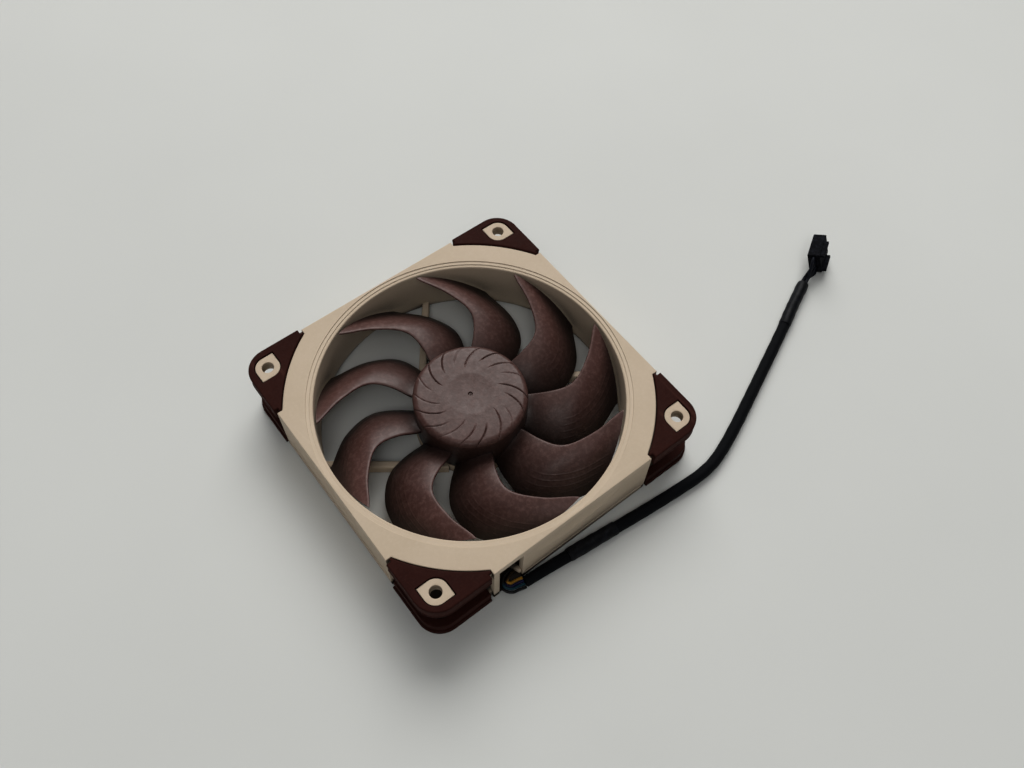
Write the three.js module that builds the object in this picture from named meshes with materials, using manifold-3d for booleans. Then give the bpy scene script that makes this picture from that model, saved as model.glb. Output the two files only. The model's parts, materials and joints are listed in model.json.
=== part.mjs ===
// A 120 mm case fan: square frame, nine-bladed impeller on a brushless motor, eight rubber corner pads and
// a short sleeved lead with a four-way plug. Millimetres, +Z up and the intake side up. The origin is the
// middle of the face that the fan lies on.
import * as THREE from 'three';
import { mergeVertices } from 'three/addons/utils/BufferGeometryUtils.js';
import Module from 'manifold-3d';

const wasm = await Module();
wasm.setup();

// ---------------------------------------------------------------- driving dimensions
const SIDE = 120; // over the rubber pads
const DEPTH = 25; // over the rubber pads
const HOLE_PITCH = 105;
const HOLE_RADIUS = 2.2;
const GAP = 0.3; // between pieces that touch
const ROUND = 64; // sides of the large circles
const SMALL_ROUND = 28; // sides of the small circles
const TINY_ROUND = 20; // sides of bores and pins
const CORNER_ROUND = 8; // sides of each rounded corner

const PAD_PROUD = 0.4; // how far a pad's face stands above the frame's face
const EDGE_PROUD = 0.6; // how far a pad's outer wall stands outside the frame's side
const PAD_SKIN = 1.6; // thickness of a pad's face and outer wall
const PAD_WALL = 6.2; // height of a pad's outer wall
const PAD_LIP = 1; // thickness of the lip that hooks under the flange
const PAD_LIP_REACH = 3.6; // from a pad's outer wall to the lip's inner edge
const PAD_CORNER = 9;
const PAD_INNER_RADIUS = 67;
const PAD_END = 34.5; // distance from the fan's mid plane to a pad's end
const BOSS_SIDE = 9; // of the eye-shaped boss round each screw hole
const BOSS_CORNER = 4.5;

const BORE_RADIUS = 56.1; // inside of the duct
const DUCT_WALL = 1.8;
const STEP_DROP = 0.35; // each of the two steps at the inlet
const STEP_OUTER = 2.6; // from the bore to the outer step
const STEP_INNER = 1.3; // from the bore to the inner step
const FLANGE = 4.5; // thickness of the square flanges
const FLANGE_CORNER = 8.5;
const FLANGE_CHAMFER = 0.5;
const FLARE = 1.5; // how much wider the duct is at the exhaust face
const FLARE_HEIGHT = 4.5;
const SIDE_WALL = 2; // thickness of the flat side walls
const SCOOP_HALF_WIDTH = 20; // the shallow scoop in each side wall
const SCOOP_HEIGHT = 9;
const SCOOP_DEPTH = 1.2;
const SCOOP_LIP = 3; // from the frame's face down to the scoop

const SLOT_LEFT = -32; // the opening in the front wall where the wires come out
const SLOT_RIGHT = -22;
const NOTCH_END = -14; // how far the space behind the front wall runs towards the middle
const HOOK_OUTLINE = [[-28.2, -49.8], [-26.4, -50.8], [-22, -58.2], [-24, -59.4]]; // holds the wires down
const HOOK_BOTTOM = 5.6;
const HOOK_TOP = 8;

const STRUT_COUNT = 4;
const STRUT_OFFSET = 19.3; // from the axis to a strut's middle line
const STRUT_WIDTH = 2.8;
const STRUT_HEIGHT = 4.4;
const STRUT_ANGLE = 142.7; // direction in which the first strut runs out
const CABLE_STRUT = 3; // the strut that carries the wires
const CABLE_STRUT_WIDTH = 5.6;
const CHANNEL_WIDTH = 3.4;
const CHANNEL_HEIGHT = 2.9;

const BASE_RADIUS = 21.2;
const BASE_PLATE = 2;
const BASE_RIM = 1.2; // width of the raised rim
const BASE_RIM_HEIGHT = 1.9; // above the base plate
const LABEL_RADIUS = 15.6;
const LABEL_THICKNESS = 0.2;

const SHAFT_RADIUS = 1.5;
const SLEEVE_WALL = 1.5;
const SHELL_WALL = 0.7;
const TUBE_WALL = 1;

const CORE_HUB_WALL = 2.3;
const CORE_HEIGHT = 5;
const POLE_WIDTH = 3;
const SHOE_THICKNESS = 2.2;
const SHOE_ANGLE = 34; // half the angle of a pole shoe
const INSULATOR = 0.8;
const COIL_DEPTH = 2.1; // thickness of the winding
const AIR_GAP = 0.6;
const MAGNET_WALL = 1.7;
const YOKE_WALL = 0.8;
const HUB_WALL = 1.2;
const BOARD_THICKNESS = 1;
const THRUST_THICKNESS = 0.5;
const SHAFT_COVER = 1.3; // hub plastic above the shaft's end
const CHIP_SIDE = 3.6;
const CHIP_HEIGHT = 1.2;
const CHIP_PLACE = 7; // from the axis to the chip's inner corner, along X and Y
const SENSOR_SIDE = 1.8;
const SENSOR_PLACE = 9.6;

const HUB_RADIUS = 21;
const HUB_DROP = 1.2; // from the frame's face down to the hub's top
const HUB_TOP = 1.8; // thickness of the hub's top
const HUB_ROUND = 2.3; // radius of the hub's top edge
const HUB_ROUND_STEPS = 4;
const HUB_RUNNING = 0.9; // between the hub's wall and the base rim
const HUB_EYE_RADIUS = 6.6; // the shallow dish at the middle of the hub
const HUB_EYE_DEPTH = 0.35;
const TIP_CLEARANCE = 0.8;

const BLADE_COUNT = 9;
const BLADE_START = -124.3; // angle of the first blade's leading tip
const BLADE_STATIONS = 9;
const BLADE_CHORD_STEPS = 8;
const BLADE_THICKNESS_ROOT = 1.7;
const BLADE_THICKNESS_TIP = 1.1;
const BLADE_EDGE = 0.45; // thickness left at the leading and trailing edges
// Each list runs from the hub to the tip in equal steps of span. Angles are measured from the leading tip.
const LEAD_SWEEP = [-20.7, -24.1, -22.4, -11.1, 0];
const TRAIL_SWEEP = [-57.2, -56.7, -53, -43, -28.4];
const LEAD_DROP = [10.2, 7.6, 5.6, 3.3, 1]; // down from the frame's intake face
const TRAIL_RISE = [6.3, 6.2, 6, 5.9, 8.3]; // up from the frame's rear face
const CAMBER = [1.9, 2.3, 2.2, 1.7, 1.1]; // how far the blade bows towards the intake

const WIRE_RADIUS = 0.5;
const WIRE_PITCH = 1.2;
const WIRE_SIDES = 8;
const WIRE_COUNT = 4;
const WIRE_STEPS = 3; // steps of a wire between two points of its route
const PLUG_WIRE_STEPS = 12;
const PLUG_WIRE_STRAIGHT = 1.2; // how far a wire runs on from the lead before it bends
const PLUG_WIRE_ENTRY = 2.2; // how far it runs straight before the plug
const LEAD_SIDES = 10;
const LEAD_STEP = 9; // length of one step of the lead
const PLUG_LENGTH = 12;
const PLUG_THICKNESS = 5.2;
const PLUG_WIDTH = 10.2;
const PLUG_PITCH = 2.54;
const PLUG_BEVEL = 0.4;
const PLUG_SOCKET = 1.7;
const PLUG_RIB = 1.2; // thickness of the two ribs
const PLUG_RIB_HEIGHT = 1.7;
const PLUG_RIB_LENGTH = 8.6;
const PLUG_RIB_SPREAD = 4.1; // from the plug's middle to a rib
const PLUG_YAW = 30; // how the plug lies
const PLUG_ROLL = 21.5;
const TERMINAL_SIDE = 1.1;
const TERMINAL_BORE = 0.6;
const TERMINAL_LENGTH = 8;
const PLUG_WIRE_PITCH = 1.08; // the wires leave the lead one above the other

// The wires run along the cable strut: distance along it, distance from the axis to its middle line, height.
const STRUT_ROUTE = [
  [0.6, 17.5, 1.7], [4, 18.2, 1.7], [9, 19.3, 1.7], [20, 19.3, 1.7], [34, 19.3, 1.7], [48, 19.3, 1.7],
];
// They go on through the opening in the front wall to the start of the lead, and end side by side there.
const EXIT_ROUTE = [
  [-17.2, -54.4, 1.7], [-19.4, -55.7, 1.9], [-22.6, -56, 2.4], [-26, -56.4, 3], [-28.6, -57.5, 3.2],
  [-29.2, -59.2, 3.2], [-28, -60.8, 2.9], [-25.6, -61.2, 2.4], [-23, -61.8, 2.1],
];
const SPREAD = [0, 0, 0, 0.1, 0.3, 0.5, 0.7, 0.9, 1]; // how far they lie side by side at each point
// The lead lies on the surface. Its pieces follow each other end to end.
const LEAD_ROUTES = {
  lead_sleeve_short: [[-22.6, -61.9], [-15, -62.6], [-4.7, -63.7]],
  heat_shrink_inner: [[-4.4, -63.7], [5, -64.8], [15, -65.9]],
  lead_sleeve: [
    [15.3, -65.9], [25, -67], [35, -68], [45, -68.8], [53, -69.2], [60, -68.7], [67, -66.9], [78, -62.8],
    [90, -57.7], [102, -52.5], [114, -47.3], [126.9, -41.6],
  ],
  heat_shrink_outer: [[127.2, -41.4], [138, -36.4], [148.4, -31.9]],
};
const LEAD_RADII = {
  lead_sleeve_short: 2, heat_shrink_inner: 2.5, lead_sleeve: 2.2, heat_shrink_outer: 2.35,
};
const PLUG_PLACE = [157, -28.8, 6.2]; // the middle of the plug's rear face

// ---------------------------------------------------------------- values that follow from them
const TOP = DEPTH - PAD_PROUD; // the frame's intake face
const BOTTOM = PAD_PROUD; // the frame's rear face
const HALF = SIDE / 2;
const FRAME_HALF = HALF - EDGE_PROUD;
const FLANGE_INNER = TOP - FLANGE;
const BASE_TOP = BOTTOM + BASE_PLATE;
const RIM_TOP = BASE_TOP + BASE_RIM_HEIGHT;
const HUB_FACE = TOP - HUB_DROP;
const HUB_CEILING = HUB_FACE - HUB_TOP;
const HUB_FLOOR = RIM_TOP + HUB_RUNNING;
const TIP_RADIUS = BORE_RADIUS - TIP_CLEARANCE;
const YOKE_OUTER = HUB_RADIUS - HUB_WALL - GAP;
const MAGNET_OUTER = YOKE_OUTER - YOKE_WALL - GAP;
const MAGNET_INNER = MAGNET_OUTER - MAGNET_WALL;
const STATOR_RADIUS = MAGNET_INNER - AIR_GAP;
const SLEEVE_INNER = SHAFT_RADIUS + GAP;
const SLEEVE_OUTER = SLEEVE_INNER + SLEEVE_WALL;
const SHELL_INNER = SLEEVE_OUTER + GAP;
const SHELL_OUTER = SHELL_INNER + SHELL_WALL;
const TUBE_INNER = SHELL_OUTER + GAP;
const TUBE_OUTER = TUBE_INNER + TUBE_WALL;
const CORE_INNER = TUBE_OUTER + GAP;
const CORE_HUB = CORE_INNER + CORE_HUB_WALL;
const BOARD_BOTTOM = BASE_TOP + 2 * GAP;
const BOARD_TOP = BOARD_BOTTOM + BOARD_THICKNESS;
const COIL_BOTTOM = BOARD_TOP + 2 * GAP;
const LOWER_INSULATOR = COIL_BOTTOM + COIL_DEPTH + GAP;
const CORE_BOTTOM = LOWER_INSULATOR + INSULATOR + GAP;
const CORE_TOP = CORE_BOTTOM + CORE_HEIGHT;
const UPPER_INSULATOR = CORE_TOP + GAP;
const COIL_TOP = UPPER_INSULATOR + INSULATOR + GAP + COIL_DEPTH;
const TUBE_TOP = COIL_TOP - COIL_DEPTH;
const BOSS_FLOOR = TUBE_TOP + 2 * GAP; // lower end of the hub's shaft boss
const THRUST_TOP = BASE_TOP + GAP + THRUST_THICKNESS;
const SHAFT_TOP = HUB_FACE - SHAFT_COVER;
const CLEAR = 2; // how far a cutter runs past the face that it cuts
const RADIANS = Math.PI / 180;

// ---------------------------------------------------------------- small tools
// A closed geometry as a manifold solid.
function solid(geometry) {
  const bare = geometry.clone();
  bare.deleteAttribute('normal');
  bare.deleteAttribute('uv');
  const merged = mergeVertices(bare, 1e-5);
  return new wasm.Manifold(new wasm.Mesh({
    numProp: 3,
    vertProperties: Float32Array.from(merged.attributes.position.array),
    triVerts: Uint32Array.from(merged.index.array),
  }));
}

// A manifold solid as a geometry.
function geometryOf(body) {
  const mesh = body.getMesh();
  const geometry = new THREE.BufferGeometry();
  geometry.setAttribute('position', new THREE.BufferAttribute(new Float32Array(mesh.vertProperties), 3));
  geometry.setIndex(new THREE.BufferAttribute(new Uint32Array(mesh.triVerts), 1));
  geometry.computeVertexNormals();
  return geometry;
}

function joined(bodies) {
  return bodies.reduce((sum, body) => sum.add(body));
}

function cut(body, cutters) {
  return cutters.reduce((rest, cutter) => rest.subtract(cutter), body);
}

// An outline pushed up from z0 to z1.
function prism(shape, z0, z1, round = ROUND) {
  const geometry = new THREE.ExtrudeGeometry(shape, {
    depth: z1 - z0, bevelEnabled: false, curveSegments: round / 2,
  });
  return geometry.translate(0, 0, z0);
}

// The same with a chamfer on both edges of the outline.
function chamferedPrism(shape, z0, z1, chamfer) {
  const geometry = new THREE.ExtrudeGeometry(shape, {
    depth: z1 - z0 - 2 * chamfer, bevelEnabled: true, bevelThickness: chamfer, bevelSize: chamfer,
    bevelOffset: -chamfer, bevelSegments: 1, curveSegments: CORNER_ROUND / 2,
  });
  return geometry.translate(0, 0, z0 + chamfer);
}

function circle(radius) {
  return new THREE.Shape().absarc(0, 0, radius, 0, 2 * Math.PI, false);
}

function annulus(inner, outer) {
  const shape = circle(outer);
  shape.holes.push(new THREE.Path().absarc(0, 0, inner, 0, 2 * Math.PI, true));
  return shape;
}

function rectangle(x0, y0, x1, y1) {
  return new THREE.Shape([[x0, y0], [x1, y0], [x1, y1], [x0, y1]].map(([x, y]) => new THREE.Vector2(x, y)));
}

function roundedSquare(half, corner) {
  const shape = new THREE.Shape();
  const inner = half - corner;
  shape.absarc(inner, inner, corner, 0, Math.PI / 2, false);
  shape.absarc(-inner, inner, corner, Math.PI / 2, Math.PI, false);
  shape.absarc(-inner, -inner, corner, Math.PI, 1.5 * Math.PI, false);
  shape.absarc(inner, -inner, corner, 1.5 * Math.PI, 2 * Math.PI, false);
  return shape;
}

// A profile of [radius, height] pairs turned round the Z axis.
function turned(profile, round = ROUND) {
  const points = profile.map(([radius, height]) => new THREE.Vector2(radius, height));
  return new THREE.LatheGeometry(points, round).rotateX(Math.PI / 2);
}

function ring(inner, outer, z0, z1, round = ROUND) {
  return prism(annulus(inner, outer), z0, z1, round);
}

function disc(radius, z0, z1, round = ROUND) {
  return prism(circle(radius), z0, z1, round);
}

function box(x0, y0, z0, x1, y1, z1) {
  const geometry = new THREE.BoxGeometry(x1 - x0, y1 - y0, z1 - z0);
  return geometry.translate((x0 + x1) / 2, (y0 + y1) / 2, (z0 + z1) / 2);
}

// A value part of the way along a list of control values, on a smooth curve through them.
function along(values, share) {
  const curve = new THREE.SplineCurve(values.map((value, i) => new THREE.Vector2(i, value)));
  return curve.getPoint(share).y;
}

// The same geometry turned round Z by a number of quarter turns.
function quarterTurned(geometry, turns) {
  return geometry.clone().rotateZ(turns * Math.PI / 2);
}

// The same geometry for the other face of the fan, turned over about the X axis at mid depth.
function turnedOver(geometry) {
  return geometry.clone().translate(0, 0, -DEPTH / 2).rotateX(Math.PI).translate(0, 0, DEPTH / 2);
}

// A round tube with flat ends along a list of points.
function tube(points, radius, sides, steps) {
  const section = new THREE.Shape();
  for (let i = 0; i < sides; i += 1) {
    const angle = 2 * Math.PI * i / sides;
    const [x, y] = [radius * Math.cos(angle), radius * Math.sin(angle)];
    if (i === 0) section.moveTo(x, y);
    else section.lineTo(x, y);
  }
  section.closePath();
  const places = points.map((point) => new THREE.Vector3(...point));
  const path = new THREE.CatmullRomCurve3(places, false, 'centripetal');
  return new THREE.ExtrudeGeometry(section, { steps, extrudePath: path, bevelEnabled: false });
}

const group = new THREE.Group();

function add(name, geometry, material) {
  const mesh = new THREE.Mesh(geometry, material);
  mesh.name = name;
  group.add(mesh);
  return mesh;
}

// ---------------------------------------------------------------- materials
function plastic(color, roughness = 0.6) {
  return new THREE.MeshStandardMaterial({ color, roughness, metalness: 0 });
}

function metal(color, roughness = 0.35) {
  return new THREE.MeshStandardMaterial({ color, roughness, metalness: 1 });
}

// ---------------------------------------------------------------- rubber pads
// The outline of a pad at the corner with x and y above zero. grow makes the recess for it.
function padOutline(grow, inset = 0) {
  const outer = HALF - inset + grow;
  const corner = PAD_CORNER - inset + grow;
  const end = PAD_END - grow;
  const radius = PAD_INNER_RADIUS - grow;
  const reach = Math.sqrt(radius * radius - end * end);
  const angle = Math.atan2(end, reach);
  const shape = new THREE.Shape();
  shape.moveTo(end, outer);
  shape.lineTo(end, reach);
  shape.absarc(0, 0, radius, Math.PI / 2 - angle, angle, true);
  shape.lineTo(outer, end);
  shape.absarc(outer - corner, outer - corner, corner, 0, Math.PI / 2, false);
  return shape;
}

// Everything that lies further in than a pad's wall, for hollowing the pad.
function padHollow(inset) {
  return roundedSquare(HALF - inset, PAD_CORNER - inset);
}

// The eye-shaped outline of a screw boss: square, with two of its corners round.
function bossOutline(grow) {
  const half = BOSS_SIDE / 2 + grow;
  const corner = Math.min(BOSS_CORNER + grow, half);
  const shape = new THREE.Shape();
  shape.moveTo(-half, half);
  shape.lineTo(-half, -half + corner);
  shape.absarc(-half + corner, -half + corner, corner, Math.PI, 1.5 * Math.PI, false);
  shape.lineTo(half, -half);
  shape.lineTo(half, half - corner);
  shape.absarc(half - corner, half - corner, corner, 0, Math.PI / 2, false);
  return shape;
}

// The space that a pad on the intake side fills, or its recess where grow is the clearance.
function padBody(grow) {
  const bottom = DEPTH - PAD_WALL;
  const block = solid(prism(padOutline(grow), bottom - grow, DEPTH + grow, CORNER_ROUND));
  const ceiling = DEPTH - PAD_SKIN - grow;
  const wide = solid(prism(padHollow(PAD_SKIN + grow), bottom + PAD_LIP + grow, ceiling, CORNER_ROUND));
  const mouth = solid(prism(padHollow(PAD_LIP_REACH + grow), bottom - CLEAR, ceiling, CORNER_ROUND));
  return cut(block, [wide, mouth]);
}

function bossPlace(geometry) {
  return geometry.translate(HOLE_PITCH / 2, HOLE_PITCH / 2, 0);
}

function padGeometry() {
  const eye = prism(bossOutline(GAP), DEPTH - PAD_WALL - CLEAR, DEPTH + CLEAR, CORNER_ROUND);
  return geometryOf(cut(padBody(0), [solid(bossPlace(eye))]));
}

const CORNER_NAMES = ['back_right', 'back_left', 'front_left', 'front_right'];

function addPads() {
  const upper = padGeometry();
  const lower = turnedOver(upper).rotateZ(Math.PI / 2);
  CORNER_NAMES.forEach((corner, turns) => {
    add(`pad_intake_${corner}`, quarterTurned(upper, turns), plastic(0x4a2e2b, 0.75));
    add(`pad_rear_${corner}`, quarterTurned(lower, turns), plastic(0x4a2e2b, 0.75));
  });
}

// ---------------------------------------------------------------- frame
function flange(z0, z1) {
  return solid(chamferedPrism(roundedSquare(FRAME_HALF, FLANGE_CORNER), z0, z1, FLANGE_CHAMFER));
}

// One flat side wall, on the side that looks along -Y.
function sideWall() {
  const end = PAD_END - GAP;
  const inside = -FRAME_HALF + SIDE_WALL;
  return solid(box(-end, -FRAME_HALF, BOTTOM + FLANGE / 2, end, inside, TOP - FLANGE / 2));
}

// A shallow lens-shaped scoop with a flat top, under the lip of a side wall.
function scoop() {
  const ball = new THREE.SphereGeometry(1, SMALL_ROUND, TINY_ROUND / 2);
  ball.scale(SCOOP_HALF_WIDTH, SCOOP_DEPTH, SCOOP_HEIGHT).translate(0, -FRAME_HALF, TOP - SCOOP_LIP);
  const lip = solid(box(-HALF, -HALF - CLEAR, TOP - SCOOP_LIP, HALF, -FRAME_HALF + CLEAR, TOP + CLEAR));
  return cut(solid(ball), [lip]);
}

function strutGeometry(width, z0, z1) {
  const reach = Math.sqrt((BORE_RADIUS + DUCT_WALL / 2) ** 2 - STRUT_OFFSET ** 2);
  return box(0, STRUT_OFFSET - width / 2, z0, reach, STRUT_OFFSET + width / 2, z1);
}

// Turns a strut drawn along +X to its own direction.
function strutTurned(geometry, index) {
  return geometry.rotateZ(STRUT_ANGLE * RADIANS - index * Math.PI / 2);
}

function struts() {
  const bodies = [];
  for (let i = 0; i < STRUT_COUNT; i += 1) {
    const width = i === CABLE_STRUT ? CABLE_STRUT_WIDTH : STRUT_WIDTH;
    bodies.push(solid(strutTurned(strutGeometry(width, BOTTOM, BOTTOM + STRUT_HEIGHT), i)));
  }
  return bodies;
}

// A point beside the cable strut, from its distance along the strut and from the axis.
function strutPoint([along_, across, height]) {
  const angle = STRUT_ANGLE * RADIANS - CABLE_STRUT * Math.PI / 2;
  const x = along_ * Math.cos(angle) - across * Math.sin(angle);
  const y = along_ * Math.sin(angle) + across * Math.cos(angle);
  return [x, y, height];
}

// The spaces for the wires: a well through the base, a groove under one strut and a notch to the front wall.
function wireSpaces() {
  const top = BOTTOM + CHANNEL_HEIGHT;
  const reach = BORE_RADIUS + DUCT_WALL;
  const half = CHANNEL_WIDTH / 2;
  const wellInner = STRUT_ROUTE[0][1] - half;
  const outerLine = STRUT_OFFSET + half;
  const low = BOTTOM - CLEAR;
  const middle = BASE_RADIUS / 2;
  const deep = -BORE_RADIUS / 2;
  const wall = -FRAME_HALF + SIDE_WALL;
  const well = strutTurned(box(0, wellInner, low, middle, outerLine, BASE_TOP + CLEAR / 2), CABLE_STRUT);
  const innerLine = STRUT_OFFSET - half;
  const groove = strutTurned(box(middle - CLEAR, innerLine, low, reach, outerLine, top), CABLE_STRUT);
  const duct = solid(disc(reach, low - CLEAR, TOP));
  const slot = solid(box(SLOT_LEFT, -HALF - CLEAR, low, SLOT_RIGHT, deep, FLANGE_INNER));
  const notch = solid(box(SLOT_RIGHT - CLEAR, wall, low, NOTCH_END, deep, top + WIRE_RADIUS * 2));
  return [solid(well), solid(groove), slot.subtract(duct), notch.subtract(duct)];
}

function hook() {
  const outline = new THREE.Shape(HOOK_OUTLINE.map(([x, y]) => new THREE.Vector2(x, y)));
  return solid(prism(outline, HOOK_BOTTOM, HOOK_TOP));
}

// The duct's air space, with the two steps at the inlet and the flare at the exhaust.
function airSpaces() {
  const outer = BORE_RADIUS + STEP_OUTER;
  const inner = BORE_RADIUS + STEP_INNER;
  const wide = BORE_RADIUS + FLARE;
  return [
    solid(disc(BORE_RADIUS, BOTTOM - CLEAR, TOP + CLEAR)),
    solid(disc(outer, TOP - STEP_DROP, TOP + CLEAR)),
    solid(disc(inner, TOP - 2 * STEP_DROP, TOP + CLEAR)),
    solid(turned([
      [0, BOTTOM - CLEAR], [wide, BOTTOM - CLEAR], [wide, BOTTOM],
      [BORE_RADIUS, BOTTOM + FLARE_HEIGHT], [0, BOTTOM + FLARE_HEIGHT],
    ])),
  ];
}

// The plate, rim and bearing tube that carry the motor.
function motorBase() {
  const plate = solid(disc(BASE_RADIUS, BOTTOM, BASE_TOP));
  const rim = solid(ring(BASE_RADIUS - BASE_RIM, BASE_RADIUS, BASE_TOP - GAP, RIM_TOP));
  const bearingTube = solid(ring(TUBE_INNER, TUBE_OUTER, BASE_TOP - GAP, TUBE_TOP, SMALL_ROUND));
  const labelRecess = solid(disc(LABEL_RADIUS + GAP, BOTTOM - CLEAR, BOTTOM + LABEL_THICKNESS + GAP));
  return joined([plate, rim, bearingTube]).subtract(labelRecess);
}

function bosses() {
  const upper = bossPlace(prism(bossOutline(0), FLANGE_INNER, TOP, CORNER_ROUND));
  return [upper, turnedOver(upper).rotateZ(Math.PI / 2)];
}

function frameGeometry() {
  let body = joined([flange(FLANGE_INNER, TOP), flange(BOTTOM, BOTTOM + FLANGE)]);
  body = body.add(solid(ring(BORE_RADIUS - GAP, BORE_RADIUS + DUCT_WALL, BOTTOM, TOP)));
  const scoops = scoop();
  const wall = sideWall();
  const recess = solid(turnedOver(geometryOf(padBody(GAP))).rotateZ(Math.PI / 2));
  const quarters = [0, 1, 2, 3];
  const turn = (part, turns) => part.rotate([0, 0, 90 * turns]);
  body = joined([body, ...quarters.map((turns) => turn(wall, turns))]);
  body = cut(body, quarters.map((turns) => turn(scoops, turns)));
  body = cut(body, quarters.map((turns) => turn(padBody(GAP), turns)));
  body = cut(body, quarters.map((turns) => turn(recess, turns)));
  body = joined([body, ...quarters.flatMap((turns) => bosses().map((boss) => turn(solid(boss), turns)))]);
  body = cut(body, airSpaces());
  const motorSpace = solid(disc(BASE_RADIUS - BASE_RIM, BASE_TOP, TOP));
  body = joined([cut(joined([body, ...struts()]), [motorSpace]), hook(), motorBase()]);
  body = cut(body, wireSpaces());
  const hole = bossPlace(disc(HOLE_RADIUS, -CLEAR, DEPTH + CLEAR, TINY_ROUND));
  return geometryOf(cut(body, quarters.map((turns) => turn(solid(hole), turns))));
}

// ---------------------------------------------------------------- impeller
// One blade as a closed skin between its two faces, its two edges, its root and its tip.
function bladeGeometry() {
  const root = HUB_RADIUS - HUB_WALL / 2;
  const rows = BLADE_STATIONS + 1;
  const columns = BLADE_CHORD_STEPS + 1;
  const positions = [];
  const faces = [];
  for (let side = 0; side < 2; side += 1) {
    for (let i = 0; i < rows; i += 1) {
      const radius = i === 0 ? root : HUB_RADIUS + (TIP_RADIUS - HUB_RADIUS) * (i - 1) / (BLADE_STATIONS - 1);
      const span = Math.max(0, (radius - HUB_RADIUS) / (TIP_RADIUS - HUB_RADIUS));
      const thickness = BLADE_THICKNESS_ROOT + (BLADE_THICKNESS_TIP - BLADE_THICKNESS_ROOT) * span;
      for (let j = 0; j < columns; j += 1) {
        const chord = j / BLADE_CHORD_STEPS;
        const sweep = along(LEAD_SWEEP, span) * (1 - chord) + along(TRAIL_SWEEP, span) * chord;
        const lead = TOP - along(LEAD_DROP, span);
        const trail = BOTTOM + along(TRAIL_RISE, span);
        const bow = 4 * chord * (1 - chord) * along(CAMBER, span);
        const fullness = BLADE_EDGE + (thickness - BLADE_EDGE) * Math.sin(Math.PI * Math.sqrt(chord));
        const angle = (BLADE_START + sweep) * RADIANS;
        const height = lead * (1 - chord) + trail * chord + bow + (side === 0 ? fullness : -fullness) / 2;
        positions.push(radius * Math.cos(angle), radius * Math.sin(angle), height);
      }
    }
  }
  const at = (side, i, j) => (side * rows + i) * columns + j;
  const quad = (a, b, c, d) => faces.push(a, b, c, a, c, d);
  for (let i = 0; i < rows - 1; i += 1) {
    for (let j = 0; j < columns - 1; j += 1) {
      quad(at(0, i, j), at(0, i, j + 1), at(0, i + 1, j + 1), at(0, i + 1, j));
      quad(at(1, i, j), at(1, i + 1, j), at(1, i + 1, j + 1), at(1, i, j + 1));
    }
    quad(at(0, i, 0), at(0, i + 1, 0), at(1, i + 1, 0), at(1, i, 0));
    quad(at(0, i + 1, columns - 1), at(0, i, columns - 1), at(1, i, columns - 1), at(1, i + 1, columns - 1));
  }
  for (let j = 0; j < columns - 1; j += 1) {
    quad(at(0, 0, j + 1), at(0, 0, j), at(1, 0, j), at(1, 0, j + 1));
    quad(at(0, rows - 1, j), at(0, rows - 1, j + 1), at(1, rows - 1, j + 1), at(1, rows - 1, j));
  }
  const geometry = new THREE.BufferGeometry();
  geometry.setAttribute('position', new THREE.Float32BufferAttribute(positions, 3));
  geometry.setIndex(faces);
  return facingOut(geometry);
}

// Turns a closed geometry's triangles round if they face inwards.
function facingOut(geometry) {
  const { array } = geometry.attributes.position;
  const index = geometry.index.array;
  const corner = (i) => new THREE.Vector3().fromArray(array, 3 * index[i]);
  let volume = 0;
  for (let i = 0; i < index.length; i += 3) {
    volume += corner(i).dot(corner(i + 1).cross(corner(i + 2)));
  }
  if (volume < 0) {
    for (let i = 0; i < index.length; i += 3) [index[i + 1], index[i + 2]] = [index[i + 2], index[i + 1]];
  }
  return geometry;
}

function hubGeometry() {
  const inside = HUB_RADIUS - HUB_WALL;
  const profile = [[0, HUB_CEILING], [inside, HUB_CEILING], [inside, HUB_FLOOR], [HUB_RADIUS, HUB_FLOOR]];
  for (let i = 0; i <= HUB_ROUND_STEPS; i += 1) {
    const angle = i / HUB_ROUND_STEPS * Math.PI / 2;
    const radius = HUB_RADIUS - HUB_ROUND * (1 - Math.cos(angle));
    profile.push([radius, HUB_FACE - HUB_ROUND * (1 - Math.sin(angle))]);
  }
  profile.push([HUB_EYE_RADIUS, HUB_FACE], [HUB_EYE_RADIUS - HUB_EYE_DEPTH, HUB_FACE - HUB_EYE_DEPTH]);
  profile.push([0, HUB_FACE - HUB_EYE_DEPTH]);
  const cup = solid(turned(profile));
  const boss = solid(disc(TUBE_OUTER - GAP, BOSS_FLOOR, HUB_CEILING + GAP, SMALL_ROUND));
  const bore = solid(disc(SHAFT_RADIUS + GAP, 0, SHAFT_TOP + GAP, TINY_ROUND));
  return cup.add(boss).subtract(bore);
}

function impellerGeometry() {
  const blade = bladeGeometry();
  const blades = [];
  for (let i = 0; i < BLADE_COUNT; i += 1) {
    blades.push(solid(blade.clone().rotateZ(2 * Math.PI * i / BLADE_COUNT)));
  }
  return geometryOf(joined([hubGeometry(), ...blades]));
}

function addRotor() {
  const magnet = ring(MAGNET_INNER, MAGNET_OUTER, LOWER_INSULATOR - GAP, COIL_TOP - GAP);
  add('impeller', impellerGeometry(), plastic(0x5f4a47, 0.7));
  add('rotor_yoke', ring(YOKE_OUTER - YOKE_WALL, YOKE_OUTER, HUB_FLOOR, HUB_CEILING - GAP), metal(0xa9adb0));
  add('rotor_magnet', magnet, plastic(0x2b2a2c, 0.8));
  add('shaft', disc(SHAFT_RADIUS, THRUST_TOP + GAP, SHAFT_TOP, TINY_ROUND), metal(0xc9ccd0, 0.2));
}

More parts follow.
